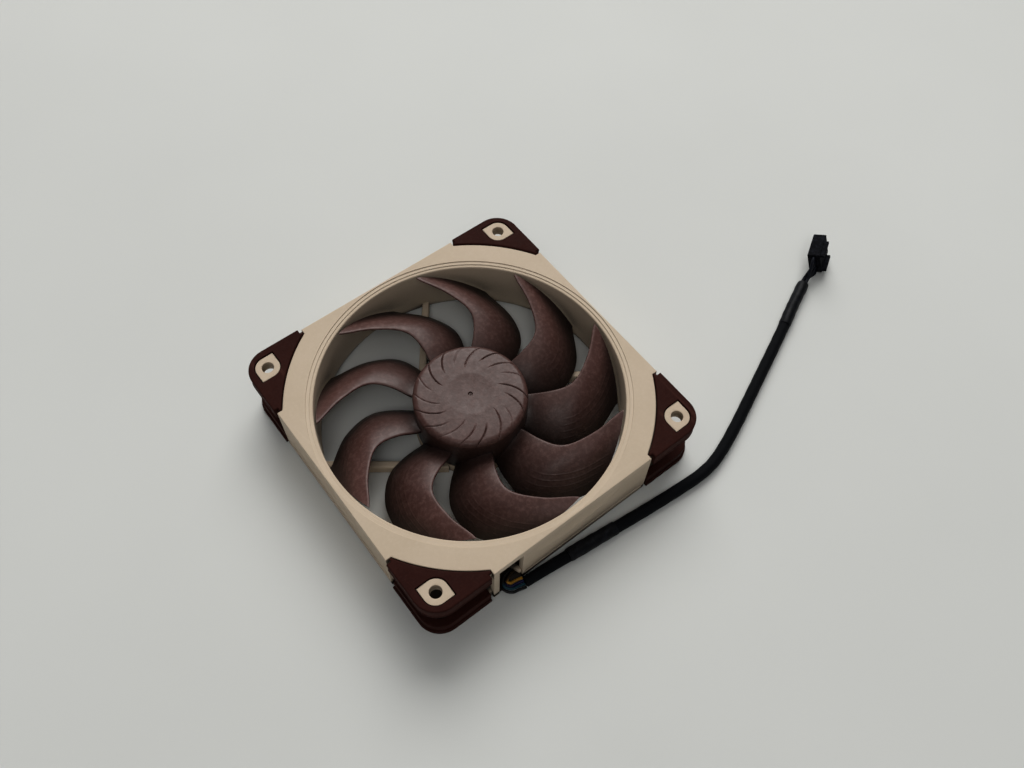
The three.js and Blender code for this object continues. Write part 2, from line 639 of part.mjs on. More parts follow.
// ---------------------------------------------------------------- motor
// Four poles pointing along X and Y, with curved shoes.
function statorCoreGeometry() {
  const hub = solid(ring(CORE_INNER, CORE_HUB, CORE_BOTTOM, CORE_TOP, SMALL_ROUND));
  const shoeInner = STATOR_RADIUS - SHOE_THICKNESS;
  const shoe = new THREE.Shape();
  shoe.absarc(0, 0, STATOR_RADIUS, -SHOE_ANGLE * RADIANS, SHOE_ANGLE * RADIANS, false);
  shoe.absarc(0, 0, shoeInner, SHOE_ANGLE * RADIANS, -SHOE_ANGLE * RADIANS, true);
  const half = POLE_WIDTH / 2;
  const pole = joined([
    solid(box(CORE_HUB - GAP, -half, CORE_BOTTOM, STATOR_RADIUS - SHOE_THICKNESS / 2, half, CORE_TOP)),
    solid(prism(shoe, CORE_BOTTOM, CORE_TOP, CORNER_ROUND)),
  ]);
  return geometryOf(joined([hub, ...[0, 1, 2, 3].map((turns) => pole.rotate([0, 0, 90 * turns]))]));
}

function insulatorGeometry(z0) {
  const z1 = z0 + INSULATOR;
  const half = POLE_WIDTH / 2;
  const hub = solid(ring(CORE_INNER, CORE_HUB, z0, z1, SMALL_ROUND));
  const arm = solid(box(CORE_HUB - GAP, -half, z0, STATOR_RADIUS - GAP, half, z1));
  return geometryOf(joined([hub, ...[0, 1, 2, 3].map((turns) => arm.rotate([0, 0, 90 * turns]))]));
}

function coilGeometry() {
  const inner = CORE_HUB + GAP;
  const half = POLE_WIDTH / 2 + GAP;
  const outerHalf = half + COIL_DEPTH;
  const outer = Math.sqrt((STATOR_RADIUS - SHOE_THICKNESS) ** 2 - outerHalf ** 2) - GAP;
  const block = solid(box(inner, -outerHalf, COIL_BOTTOM, outer, outerHalf, COIL_TOP));
  const top = UPPER_INSULATOR + INSULATOR + GAP;
  const window = solid(box(inner - CLEAR, -half, LOWER_INSULATOR - GAP, outer + CLEAR, half, top));
  return geometryOf(block.subtract(window));
}

function circuitBoardGeometry() {
  const board = solid(ring(TUBE_OUTER + GAP, BASE_RADIUS - BASE_RIM - GAP * 3, BOARD_BOTTOM, BOARD_TOP));
  const inner = STRUT_ROUTE[0][1] + WIRE_PITCH;
  const corner = strutTurned(box(-BASE_RADIUS / 4, inner, 0, BASE_RADIUS, BASE_RADIUS, TOP), CABLE_STRUT);
  return geometryOf(board.subtract(solid(corner)));
}

function addMotor() {
  const copper = 0xb4643a;
  add('stator_core', statorCoreGeometry(), metal(0x8d9196, 0.5));
  add('insulator_lower', insulatorGeometry(LOWER_INSULATOR), plastic(0xe6e2d6, 0.5));
  add('insulator_upper', insulatorGeometry(UPPER_INSULATOR), plastic(0xe6e2d6, 0.5));
  const coil = coilGeometry();
  for (let i = 0; i < 4; i += 1) {
    add(`coil_${i + 1}`, quarterTurned(coil, i), metal(copper, 0.4));
  }
  add('circuit_board', circuitBoardGeometry(), plastic(0x1f5c38, 0.5));
  const partBottom = BOARD_TOP + GAP;
  const chip = box(-CHIP_SIDE, 0, 0, 0, CHIP_SIDE, CHIP_HEIGHT);
  const sensor = box(0, 0, 0, SENSOR_SIDE, SENSOR_SIDE, CHIP_HEIGHT);
  add('driver_chip', chip.translate(-CHIP_PLACE, CHIP_PLACE, partBottom), plastic(0x1b1b1d, 0.4));
  add('hall_sensor', sensor.translate(SENSOR_PLACE, SENSOR_PLACE, partBottom), plastic(0x1b1b1d, 0.4));
  const sleeveBottom = THRUST_TOP + GAP;
  const sleeveTop = TUBE_TOP - GAP;
  add('bearing_shell', ring(SHELL_INNER, SHELL_OUTER, sleeveBottom, sleeveTop, SMALL_ROUND), metal(0xc8a24e));
  const sleeve = ring(SLEEVE_INNER, SLEEVE_OUTER, sleeveBottom, sleeveTop, SMALL_ROUND);
  add('bearing_sleeve', sleeve, metal(0x9a7a4a, 0.5));
  add('thrust_plate', disc(SHELL_OUTER, BASE_TOP + GAP, THRUST_TOP, SMALL_ROUND), plastic(0xd9d6cc, 0.4));
  add('rear_label', disc(LABEL_RADIUS, BOTTOM, BOTTOM + LABEL_THICKNESS), plastic(0x9a7f68, 0.5));
}

// ---------------------------------------------------------------- wires, lead and plug
const WIRE_COLORS = { yellow: 0xd8a93a, blue: 0x2d3466, green: 0x2f7f78, black: 0x1d1e24 };

// Where one of the four wires lies in their bundle. They start as two pairs, one wire of each pair above the
// other, and each pair turns over on its side as the bundle spreads.
function bundlePlace(index, spread) {
  const pair = index < WIRE_COUNT / 2 ? 1 : -1;
  const member = index % 2 === 0 ? 1 : -1;
  const angle = spread * Math.PI / 2;
  const across = pair * (1 + spread) + member * Math.sin(angle);
  return [across * WIRE_PITCH / 2, member * Math.cos(angle) * WIRE_PITCH / 2];
}

// The route of one wire, level across, beside the bundle's own route.
function wireRoute(route, index) {
  const straight = route.length - SPREAD.length;
  return route.map((point, i) => {
    const before = route[Math.max(0, i - 1)];
    const after = route[Math.min(route.length - 1, i + 1)];
    const run = new THREE.Vector2(after[0] - before[0], after[1] - before[1]).normalize();
    const [across, up] = bundlePlace(index, i < straight ? 0 : SPREAD[i - straight]);
    return [point[0] - run.y * across, point[1] + run.x * across, point[2] + up];
  });
}

function addWires() {
  const route = [...STRUT_ROUTE.map(strutPoint), ...EXIT_ROUTE];
  Object.entries(WIRE_COLORS).forEach(([color, hex], i) => {
    const wire = tube(wireRoute(route, i), WIRE_RADIUS, WIRE_SIDES, WIRE_STEPS * route.length);
    add(`wire_${color}`, wire, plastic(hex, 0.45));
  });
}

function addLead() {
  Object.entries(LEAD_ROUTES).forEach(([name, route]) => {
    const radius = LEAD_RADII[name];
    const path = route.map(([x, y]) => [x, y, radius]);
    const length = Math.hypot(route.at(-1)[0] - route[0][0], route.at(-1)[1] - route[0][1]);
    const steps = Math.ceil(length / LEAD_STEP) + 1;
    const roughness = name.startsWith('heat') ? 0.5 : 0.8;
    add(name, tube(path, radius, LEAD_SIDES, steps), plastic(0x17181d, roughness));
  });
}

// Places a geometry drawn with the plug along +X, its thickness along Y and its width along Z.
function plugPlaced(geometry) {
  geometry.rotateX(-PLUG_ROLL * RADIANS).rotateZ(PLUG_YAW * RADIANS);
  return geometry.translate(...PLUG_PLACE);
}

function plugHeight(index) {
  return ((WIRE_COUNT - 1) / 2 - index) * PLUG_PITCH;
}

function plugGeometry() {
  const side = PLUG_THICKNESS / 2;
  const outline = rectangle(-side, -PLUG_WIDTH / 2, side, PLUG_WIDTH / 2);
  const body = chamferedPrism(outline, 0, PLUG_LENGTH, PLUG_BEVEL);
  body.rotateX(Math.PI / 2).rotateZ(Math.PI / 2);
  const parts = [solid(body)];
  [-PLUG_RIB_SPREAD, PLUG_RIB_SPREAD].forEach((height) => {
    const [low, high] = [height - PLUG_RIB / 2, height + PLUG_RIB / 2];
    const root = -side + PLUG_BEVEL;
    parts.push(solid(box(PLUG_BEVEL, -side - PLUG_RIB_HEIGHT, low, PLUG_RIB_LENGTH, root, high)));
  });
  const sockets = Object.keys(WIRE_COLORS).map((color, i) => {
    const half = PLUG_SOCKET / 2;
    const middle = plugHeight(i);
    return solid(box(-CLEAR, -half, middle - half, PLUG_LENGTH + CLEAR, half, middle + half));
  });
  return plugPlaced(geometryOf(cut(joined(parts), sockets)));
}

function terminalGeometry(index) {
  const half = TERMINAL_SIDE / 2;
  const bore = TERMINAL_BORE / 2;
  const outline = rectangle(-half, -half, half, half);
  const start = PLUG_LENGTH - TERMINAL_LENGTH - GAP;
  outline.holes.push(new THREE.Path([[-bore, -bore], [-bore, bore], [bore, bore], [bore, -bore]].map(
    ([x, y]) => new THREE.Vector2(x, y),
  )));
  const terminal = prism(outline, start, start + TERMINAL_LENGTH).rotateX(Math.PI / 2).rotateZ(Math.PI / 2);
  return plugPlaced(terminal.translate(0, 0, plugHeight(index)));
}

// The short bare wires between the lead and the plug.
function plugWireGeometry(index) {
  const end = LEAD_ROUTES.heat_shrink_outer.at(-1);
  const before = LEAD_ROUTES.heat_shrink_outer.at(-2);
  const run = new THREE.Vector2(end[0] - before[0], end[1] - before[1]).normalize();
  const level = LEAD_RADII.heat_shrink_outer + ((WIRE_COUNT - 1) / 2 - index) * PLUG_WIRE_PITCH;
  const start = (distance) => [end[0] + run.x * distance, end[1] + run.y * distance, level];
  const inPlug = (distance) => {
    const point = plugPlaced(new THREE.BufferGeometry().setFromPoints([
      new THREE.Vector3(distance, 0, plugHeight(index)),
    ])).attributes.position;
    return [point.getX(0), point.getY(0), point.getZ(0)];
  };
  const inner = PLUG_LENGTH - TERMINAL_LENGTH - 2 * GAP;
  const points = [start(GAP), start(PLUG_WIRE_STRAIGHT), inPlug(-PLUG_WIRE_ENTRY), inPlug(0), inPlug(inner)];
  return tube(points, WIRE_RADIUS, WIRE_SIDES, PLUG_WIRE_STEPS);
}

function addPlug() {
  add('plug_housing', plugGeometry(), plastic(0x202024, 0.5));
  Object.keys(WIRE_COLORS).forEach((color, i) => {
    add(`terminal_${i + 1}`, terminalGeometry(i), metal(0xd0c08a, 0.3));
    add(`plug_wire_${i + 1}`, plugWireGeometry(i), plastic(0x17181d, 0.5));
  });
}

// ---------------------------------------------------------------- the whole fan
add('frame', frameGeometry(), plastic(0xc2ad94, 0.6));
addPads();
addRotor();
addMotor();
addWires();
addLead();
addPlug();

export default group;
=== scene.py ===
import json
import math

import bpy
import bmesh
from mathutils import Matrix, Vector
from mathutils.geometry import tessellate_polygon


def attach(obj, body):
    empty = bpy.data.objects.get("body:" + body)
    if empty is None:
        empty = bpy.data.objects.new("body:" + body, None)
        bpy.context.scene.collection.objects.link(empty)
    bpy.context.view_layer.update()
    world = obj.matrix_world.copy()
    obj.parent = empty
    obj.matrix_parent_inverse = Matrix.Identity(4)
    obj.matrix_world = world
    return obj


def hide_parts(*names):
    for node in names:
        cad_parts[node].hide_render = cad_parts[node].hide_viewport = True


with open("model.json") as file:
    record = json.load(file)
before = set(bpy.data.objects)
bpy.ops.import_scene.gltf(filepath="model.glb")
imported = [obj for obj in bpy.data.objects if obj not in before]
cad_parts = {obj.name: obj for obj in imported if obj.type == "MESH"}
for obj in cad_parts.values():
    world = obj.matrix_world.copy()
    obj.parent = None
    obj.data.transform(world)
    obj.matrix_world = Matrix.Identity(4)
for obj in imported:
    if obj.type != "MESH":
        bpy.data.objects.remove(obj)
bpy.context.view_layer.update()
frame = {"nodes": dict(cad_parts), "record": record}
MM = 0.001

# ------------------------------------------------------------------ sizes shared with the CAD part
HALF = 60.0  # over the pads
DEPTH = 25.0
TOP = 24.6  # the frame's intake face
BOTTOM = 0.4  # the frame's rear face
FRAME_HALF = 59.4
PITCH = 52.5  # from the axis to a screw hole, along X and along Y
HOLE = 2.2  # radius of a screw hole
BORE = 56.1
DUCT_OUTER = 57.9
STEP_INNER = 57.4
STEP_OUTER = 58.7
WALL = 2.0
INNER_HALF = 58.1  # the second layer of each flange, under the pads
INNER_CORNER = 7.0
SLOT = (-32.0, -22.0)  # the wires' slot in the front side, from one end to the other
PAD_ARC = 67.0
PAD_END = 34.5
PAD_STEP = 1.7  # how far a pad's end is set back from its outer edge
PAD_CORNER = 9.0
PAD_WALL = 6.2
GAP = 0.3
HUB = 21.0
HUB_FACE = 23.4
HUB_ROUND = 2.3
HUB_FLOOR = 5.2
HUB_WALL = 1.2
HUB_DISH = 8.5  # radius of the shallow dish in its face
GROOVES = 18
BLADES = 9
TIP = 55.3


# ------------------------------------------------------------------ camera, lights and floor
def add_camera():
    data = bpy.data.cameras.new("camera")
    data.sensor_width = 36
    data.lens = 32.755
    camera = bpy.data.objects.new("camera", data)
    bpy.context.collection.objects.link(camera)
    right = Vector((0.79063239, -0.61205962, 0.01683602))
    up = Vector((0.52263329, 0.68893006, 0.50222487))
    back = Vector((-0.3189904, -0.38827618, 0.86457315))
    turn = Matrix((right, up, back)).transposed().to_4x4()
    place = Vector((-93.395, -137.167, 315.409)) * MM
    camera.matrix_world = Matrix.Translation(place) @ turn
    bpy.context.scene.camera = camera


def add_light(name, place, aim, size, power, color):
    data = bpy.data.lights.new(name, "AREA")
    data.shape = "RECTANGLE"
    data.size, data.size_y = size
    data.energy = power
    data.color = color
    lamp = bpy.data.objects.new(name, data)
    bpy.context.collection.objects.link(lamp)
    lamp.location = place
    lamp.rotation_euler = (Vector(aim) - Vector(place)).to_track_quat("-Z", "Y").to_euler()


def add_stage():
    scene = bpy.context.scene
    scene.view_settings.view_transform = "Standard"
    scene.view_settings.gamma = 0.87
    scene.view_settings.exposure = 0.07
    world = bpy.data.worlds.new("soft_room")
    world.use_nodes = True
    tree = world.node_tree
    tree.nodes["Background"].inputs["Color"].default_value = (0.97, 0.98, 1.0, 1)
    split = tree.nodes.new("ShaderNodeSeparateXYZ")
    tree.links.new(tree.nodes.new("ShaderNodeTexCoord").outputs["Generated"], split.inputs["Vector"])
    fall = tree.nodes.new("ShaderNodeMapRange")
    tree.links.new(split.outputs["Z"], fall.inputs["Value"])
    for key, number in zip(("From Min", "From Max", "To Min", "To Max"), (0.1, 0.5, 0.4, 0.05)):
        fall.inputs[key].default_value = number
    tree.links.new(fall.outputs["Result"], tree.nodes["Background"].inputs["Strength"])
    scene.world = world
    add_light("sky_panel", (1.5, 1.75, 2.3), (0.12, 0.0, 0.0), (2.6, 2.2), 97.0, (1.0, 0.985, 0.96))
    add_light("ceiling_panel", (0.0, 0.1, 2.6), (0.0, 0.0, 0.0), (3.0, 3.0), 15.0, (1.0, 0.99, 0.97))
    add_light("front_panel", (-0.85, -1.05, 2.0), (0.0, 0.0, 0.0), (0.9, 0.9), 7.5, (1.0, 0.985, 0.96))
    size = 900.0
    floor = mesh_object("floor", [(-size, -size, 0), (size, -size, 0), (size, size, 0), (-size, size, 0)],
                        [(0, 1, 2, 3)])
    floor.location.z = -0.02 * MM
    floor.data.materials.append(floor_material())


# ------------------------------------------------------------------ mesh helpers
def mesh_object(name, points, faces, smooth_angle=None):
    mesh = bpy.data.meshes.new(name)
    mesh.from_pydata([(x * MM, y * MM, z * MM) for x, y, z in points], [], faces)
    mesh.update()
    work = bmesh.new()
    work.from_mesh(mesh)
    bmesh.ops.recalc_face_normals(work, faces=work.faces)
    work.to_mesh(mesh)
    work.free()
    if smooth_angle is not None:
        mesh.shade_smooth()
        mesh.set_sharp_from_angle(angle=math.radians(smooth_angle))
    thing = bpy.data.objects.new(name, mesh)
    bpy.context.collection.objects.link(thing)
    return thing


def joined(name, parts):
    """One object from several meshes, given as (points, faces)."""
    points, faces = [], []
    for some_points, some_faces in parts:
        start = len(points)
        points += some_points
        faces += [tuple(start + i for i in face) for face in some_faces]
    thing = mesh_object(name, points, faces, 50)
    weigh = thing.modifiers.new("weigh", "WEIGHTED_NORMAL")
    weigh.keep_sharp = True
    return thing


def moved(part, turn=0.0, over=False):
    """The same mesh turned round Z by degrees, or first turned over at the fan's mid depth."""
    points, faces = part
    angle = math.radians(turn)
    c, s = math.cos(angle), math.sin(angle)
    out = []
    for x, y, z in points:
        if over:
            x, y, z = x, -y, DEPTH - z
        out.append((c * x - s * y, s * x + c * y, z))
    return out, faces


def offset_loop(loop, distance):
    """A loop moved to its left by a distance, with mitred corners."""
    out = []
    count = len(loop)
    for i in range(count):
        ax, ay = loop[i - 1]
        bx, by = loop[i]
        cx, cy = loop[(i + 1) % count]
        ux, uy = bx - ax, by - ay
        vx, vy = cx - bx, cy - by
        ul = math.hypot(ux, uy) or 1
        vl = math.hypot(vx, vy) or 1
        n1 = (-uy / ul, ux / ul)
        n2 = (-vy / vl, vx / vl)
        mx, my = n1[0] + n2[0], n1[1] + n2[1]
        ml = max(mx * mx + my * my, 0.5)
        out.append((bx + 2 * distance * mx / ml, by + 2 * distance * my / ml))
    return out


def signed_area(loop):
    return 0.5 * sum(loop[i - 1][0] * loop[i][1] - loop[i][0] * loop[i - 1][1] for i in range(len(loop)))


def slab(outer, holes, z0, z1, top=0.0, bottom=0.0, hole_top=None, hole_bottom=None, steps=4):
    """A plate with rounded upper and lower edges, and holes with their own rounding."""
    loops = [outer if signed_area(outer) > 0 else outer[::-1]]
    loops += [hole if signed_area(hole) < 0 else hole[::-1] for hole in holes]
    points, faces, first, last = [], [], [], []
    for number, loop in enumerate(loops):
        up = top if number == 0 or hole_top is None else hole_top
        down = bottom if number == 0 or hole_bottom is None else hole_bottom
        rings = []
        if down > 0:
            for i in range(steps + 1):
                angle = math.pi / 2 * i / steps
                rings.append((down * (1 - math.sin(angle)), z0 + down * (1 - math.cos(angle))))
        else:
            rings.append((0, z0))
        if up > 0:
            for i in range(steps + 1):
                angle = math.pi / 2 * i / steps
                rings.append((up * (1 - math.cos(angle)), z1 - up * (1 - math.sin(angle))))
        else:
            rings.append((0, z1))
        starts = []
        for inset, z in rings:
            starts.append(len(points))
            points += [(x, y, z) for x, y in (offset_loop(loop, inset) if inset else loop)]
        count = len(loop)
        for a, b in zip(starts, starts[1:]):
            for i in range(count):
                j = (i + 1) % count
                faces.append((a + i, a + j, b + j, b + i))
        first.append(range(starts[0], starts[0] + count))
        last.append(range(starts[-1], starts[-1] + count))
    for rims in (first, last):
        flat = [[Vector(points[i]) for i in rim] for rim in rims]
        index = [i for rim in rims for i in rim]
        for triangle in tessellate_polygon(flat):
            faces.append(tuple(index[i] for i in triangle))
    return points, faces


def lathe(profile, sides=192):
    """A closed [radius, height] profile turned round the Z axis."""
    points, faces = [], []
    count = len(profile)
    for i in range(sides):
        angle = 2 * math.pi * i / sides
        c, s = math.cos(angle), math.sin(angle)
        points += [(r * c, r * s, z) for r, z in profile]
    for i in range(sides):
        a, b = i * count, (i + 1) % sides * count
        for j in range(count):
            k = (j + 1) % count
            faces.append((a + j, b + j, b + k, a + k))
    return points, faces


def rounded(corners, steps=5):
    """A polygon whose corners are given as (x, y, radius)."""
    out = []
    count = len(corners)
    for i in range(count):
        ax, ay, _ = corners[i - 1]
        x, y, radius = corners[i]
        bx, by, _ = corners[(i + 1) % count]
        if radius <= 0:
            out.append((x, y))
            continue
        u = Vector((ax - x, ay - y)).normalized()
        v = Vector((bx - x, by - y)).normalized()
        half = u.angle(v) / 2
        reach = radius / math.tan(half)
        middle = Vector((x, y)) + (u + v).normalized() * (radius / math.sin(half))
        start = Vector((x, y)) + u * reach - middle
        sweep = start.angle_signed(Vector((x, y)) + v * reach - middle)
        for k in range(steps + 1):
            angle = -sweep * k / steps
            c, s = math.cos(angle), math.sin(angle)
            out.append((middle.x + c * start.x - s * start.y, middle.y + s * start.x + c * start.y))
    return out


def arc(radius, start, end, steps, cx=0.0, cy=0.0):
    out = []
    for i in range(steps + 1):
        angle = math.radians(start + (end - start) * i / steps)
        out.append((cx + radius * math.cos(angle), cy + radius * math.sin(angle)))
    return out


def circle(radius, sides=160, cx=0.0, cy=0.0):
    return arc(radius, 0, 360, sides, cx, cy)[:-1]


def turned_loop(loop, degrees):
    angle = math.radians(degrees)
    c, s = math.cos(angle), math.sin(angle)
    return [(c * x - s * y, s * x + c * y) for x, y in loop]


def finish_piece(thing, body, slot, material, *nodes):
    thing.data.materials.append(material)
    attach(thing, body)
    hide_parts(*nodes)


# ------------------------------------------------------------------ material helpers
class Nodes:
    """A short way to write a material's node tree."""

    def __init__(self, name):
        self.material = bpy.data.materials.new(name)
        self.material.use_nodes = True
        self.tree = self.material.node_tree
        self.shader = self.tree.nodes["Principled BSDF"]
        self.where = self.add("ShaderNodeTexCoord").outputs["Object"]

    def add(self, kind, **settings):
        node = self.tree.nodes.new(kind)
        for key, value in settings.items():
            setattr(node, key, value)
        return node

    def link(self, source, target):
        if isinstance(source, (int, float, tuple)):
            target.default_value = source
        else:
            self.tree.links.new(source, target)

    def axes(self):
        """A place's x, y and z in millimetres."""
        node = self.add("ShaderNodeSeparateXYZ")
        self.link(self.where, node.inputs["Vector"])
        return [self.math("MULTIPLY", node.outputs[axis], 1 / MM) for axis in "XYZ"]

    def noise(self, scale, detail, rough):
        """Noise with about this many cells per millimetre."""
        node = self.add("ShaderNodeTexNoise")
        self.link(self.where, node.inputs["Vector"])
        node.inputs["Scale"].default_value = scale / MM
        node.inputs["Detail"].default_value = detail
        node.inputs["Roughness"].default_value = rough
        return node.outputs["Fac"]

    def math(self, operation, a, b=0.0, clamp=False):
        node = self.add("ShaderNodeMath", operation=operation, use_clamp=clamp)
        self.link(a, node.inputs[0])
        self.link(b, node.inputs[1])
        return node.outputs[0]

    def ramp(self, value, low, high, out_low=0.0, out_high=1.0):
        node = self.add("ShaderNodeMapRange")
        self.link(value, node.inputs["Value"])
        for key, number in zip(("From Min", "From Max", "To Min", "To Max"), (low, high, out_low, out_high)):
            node.inputs[key].default_value = number
        return node.outputs["Result"]

    def radius(self, x, y):
        return self.math("SQRT", self.math("ADD", self.math("MULTIPLY", x, x), self.math("MULTIPLY", y, y)))

    def mix(self, share, a, b):
        node = self.add("ShaderNodeMix", data_type="RGBA")
        self.link(share, node.inputs["Factor"])
        self.link(a, node.inputs["A"])
        self.link(b, node.inputs["B"])
        return node.outputs["Result"]

    def bump(self, height, strength, distance, before=None):
        """Distance is in millimetres."""
        node = self.add("ShaderNodeBump")
        node.inputs["Strength"].default_value = strength
        node.inputs["Distance"].default_value = distance * MM
        self.link(height, node.inputs["Height"])
        if before is not None:
            self.link(before, node.inputs["Normal"])
        return node.outputs["Normal"]

    def done(self, color, roughness, normal):
        self.link(color, self.shader.inputs["Base Color"])
        self.link(roughness, self.shader.inputs["Roughness"])
        self.link(normal, self.shader.inputs["Normal"])
        return self.material


def linear(red, green, blue):
    """An sRGB colour from 0 to 255 as linear values."""
    def one(value):
        value /= 255
        return value / 12.92 if value <= 0.04045 else ((value + 0.055) / 1.055) ** 2.4
    return (one(red), one(green), one(blue), 1.0)


def moulded(name, color, dark, light, rough_low, rough_high, grain=2.2, grain_height=0.03, patch=0.12,
            speck=0.5, wear=0.35, specular=0.5, shade=None, painted_shade_by_place=None):
    """Moulded plastic: fine grain, faint patches, and edges that are a little lighter. The shade argument paints
    shade
    into crevices: it gives the reach in millimetres, how open a place is where the painted shade is full and where
    it ends, and the colour of that painted shade. The last argument paints a near-black by position, as painted
    shade where little light comes."""
    n = Nodes(name)
    broad = n.noise(patch, 4, 0.6)
    fine = n.noise(grain * 0.45, 3, 0.6)
    tint = n.mix(n.ramp(broad, 0.3, 0.7), dark, color)
    tint = n.mix(n.math("MULTIPLY", n.ramp(fine, 0.45, 0.72), speck, True), tint, light)
    worn = n.add("ShaderNodeNewGeometry").outputs["Pointiness"]
    edge = n.math("MULTIPLY", n.ramp(worn, 0.52, 0.62), wear, True)
    tint = n.mix(edge, tint, light)
    # Painted shade: a near-black mixed in by position where little light comes.
    if painted_shade_by_place is not None:
        tint = n.mix(painted_shade_by_place(n), tint, linear(24, 18, 13))
    # Painted shade: a darker colour mixed in where ambient occlusion finds crevices.
    if shade is not None:
        reach, low, high, painted_shade_color = shade
        open_to_air = n.add("ShaderNodeAmbientOcclusion", samples=8)
        open_to_air.inputs["Distance"].default_value = reach * MM
        painted_shade_share = n.ramp(open_to_air.outputs["AO"], low, high, 1.0, 0.0)
        tint = n.mix(painted_shade_share, tint, painted_shade_color)
    rough = n.ramp(n.noise(grain * 0.3, 4, 0.6), 0.3, 0.7, rough_low, rough_high)
    normal = n.bump(n.noise(grain, 2, 0.5), 0.6, grain_height)
    normal = n.bump(broad, 0.3, grain_height * 4, normal)
    n.shader.inputs["Specular IOR Level"].default_value = specular
    return n.done(tint, rough, normal)


def frame_painted_shade(n):
    """Painted shade, a near-black share by position: the space between the duct, the side walls and the flanges,
    and the plate at the wires' slot.
    """
    x, y, z = n.axes()
    depth = n.math("SUBTRACT", FRAME_HALF, n.math("MAXIMUM", n.math("ABSOLUTE", x), n.math("ABSOLUTE", y)))
    share = n.math("MULTIPLY", n.ramp(n.radius(x, y), 57.2, 57.7), n.ramp(depth, 0.9, 2.8))
    share = n.math("MULTIPLY", share, n.ramp(z, 20.6, 19.6))
    share = n.math("MULTIPLY", share, n.ramp(z, 0.5, 3.0, 0.0, 0.92))
    start, end = SLOT
    across = n.math("MULTIPLY", n.ramp(x, start - 0.1, start), n.ramp(x, end + 0.1, end))
    # Painted shade: the plate in the wires' slot is painted near-black.
    plate = n.math("MULTIPLY", n.ramp(z, 1.1, 1.2), n.ramp(z, 2.4, 2.3))
    plate = n.math("MULTIPLY", n.math("MULTIPLY", plate, across), n.ramp(y, -47.4, -47.6))
    return n.math("MAXIMUM", share, n.math("MULTIPLY", plate, 0.97))


def wire_painted_shade(n):
    """Painted shade: the inner leg of the wires, behind the outgoing one, is painted near-black."""
    return n.ramp(n.axes()[1], -58.9, -57.9, 0.0, 0.96)


def impeller_painted_shade(n):
    """Painted shade: the deeper a place lies in the duct, the darker it is painted, and the hub's side is painted
    darker too.
    """
    x, y, z = n.axes()
    on_hub = n.ramp(n.radius(x, y), HUB + 0.3, HUB - 0.3)
    side = n.math("MULTIPLY", on_hub, n.ramp(z, 22.4, 20.2, 0.2, 0.97))
    return n.math("MAXIMUM", side, n.ramp(z, 7.0, 20.5, 0.9, 0.0))


def floor_material():
    n = Nodes("floor_paper")
    cloud = n.noise(0.006, 3, 0.5)
    tint = n.mix(n.ramp(cloud, 0.3, 0.7), linear(205, 207, 205), linear(209, 211, 209))
    normal = n.bump(n.noise(0.8, 4, 0.6), 0.15, 0.05)
    return n.done(tint, 0.75, normal)


def metal(name, color, rough_low, rough_high, scale=0.8):
    n = Nodes(name)
    grain = n.noise(scale, 4, 0.6)
    tint = n.mix(n.ramp(grain, 0.3, 0.7), color, tuple([c * 0.8 for c in color[:3]] + [1.0]))
    n.shader.inputs["Metallic"].default_value = 1.0
    return n.done(tint, n.ramp(grain, 0.3, 0.7, rough_low, rough_high), n.bump(grain, 0.3, 0.01))


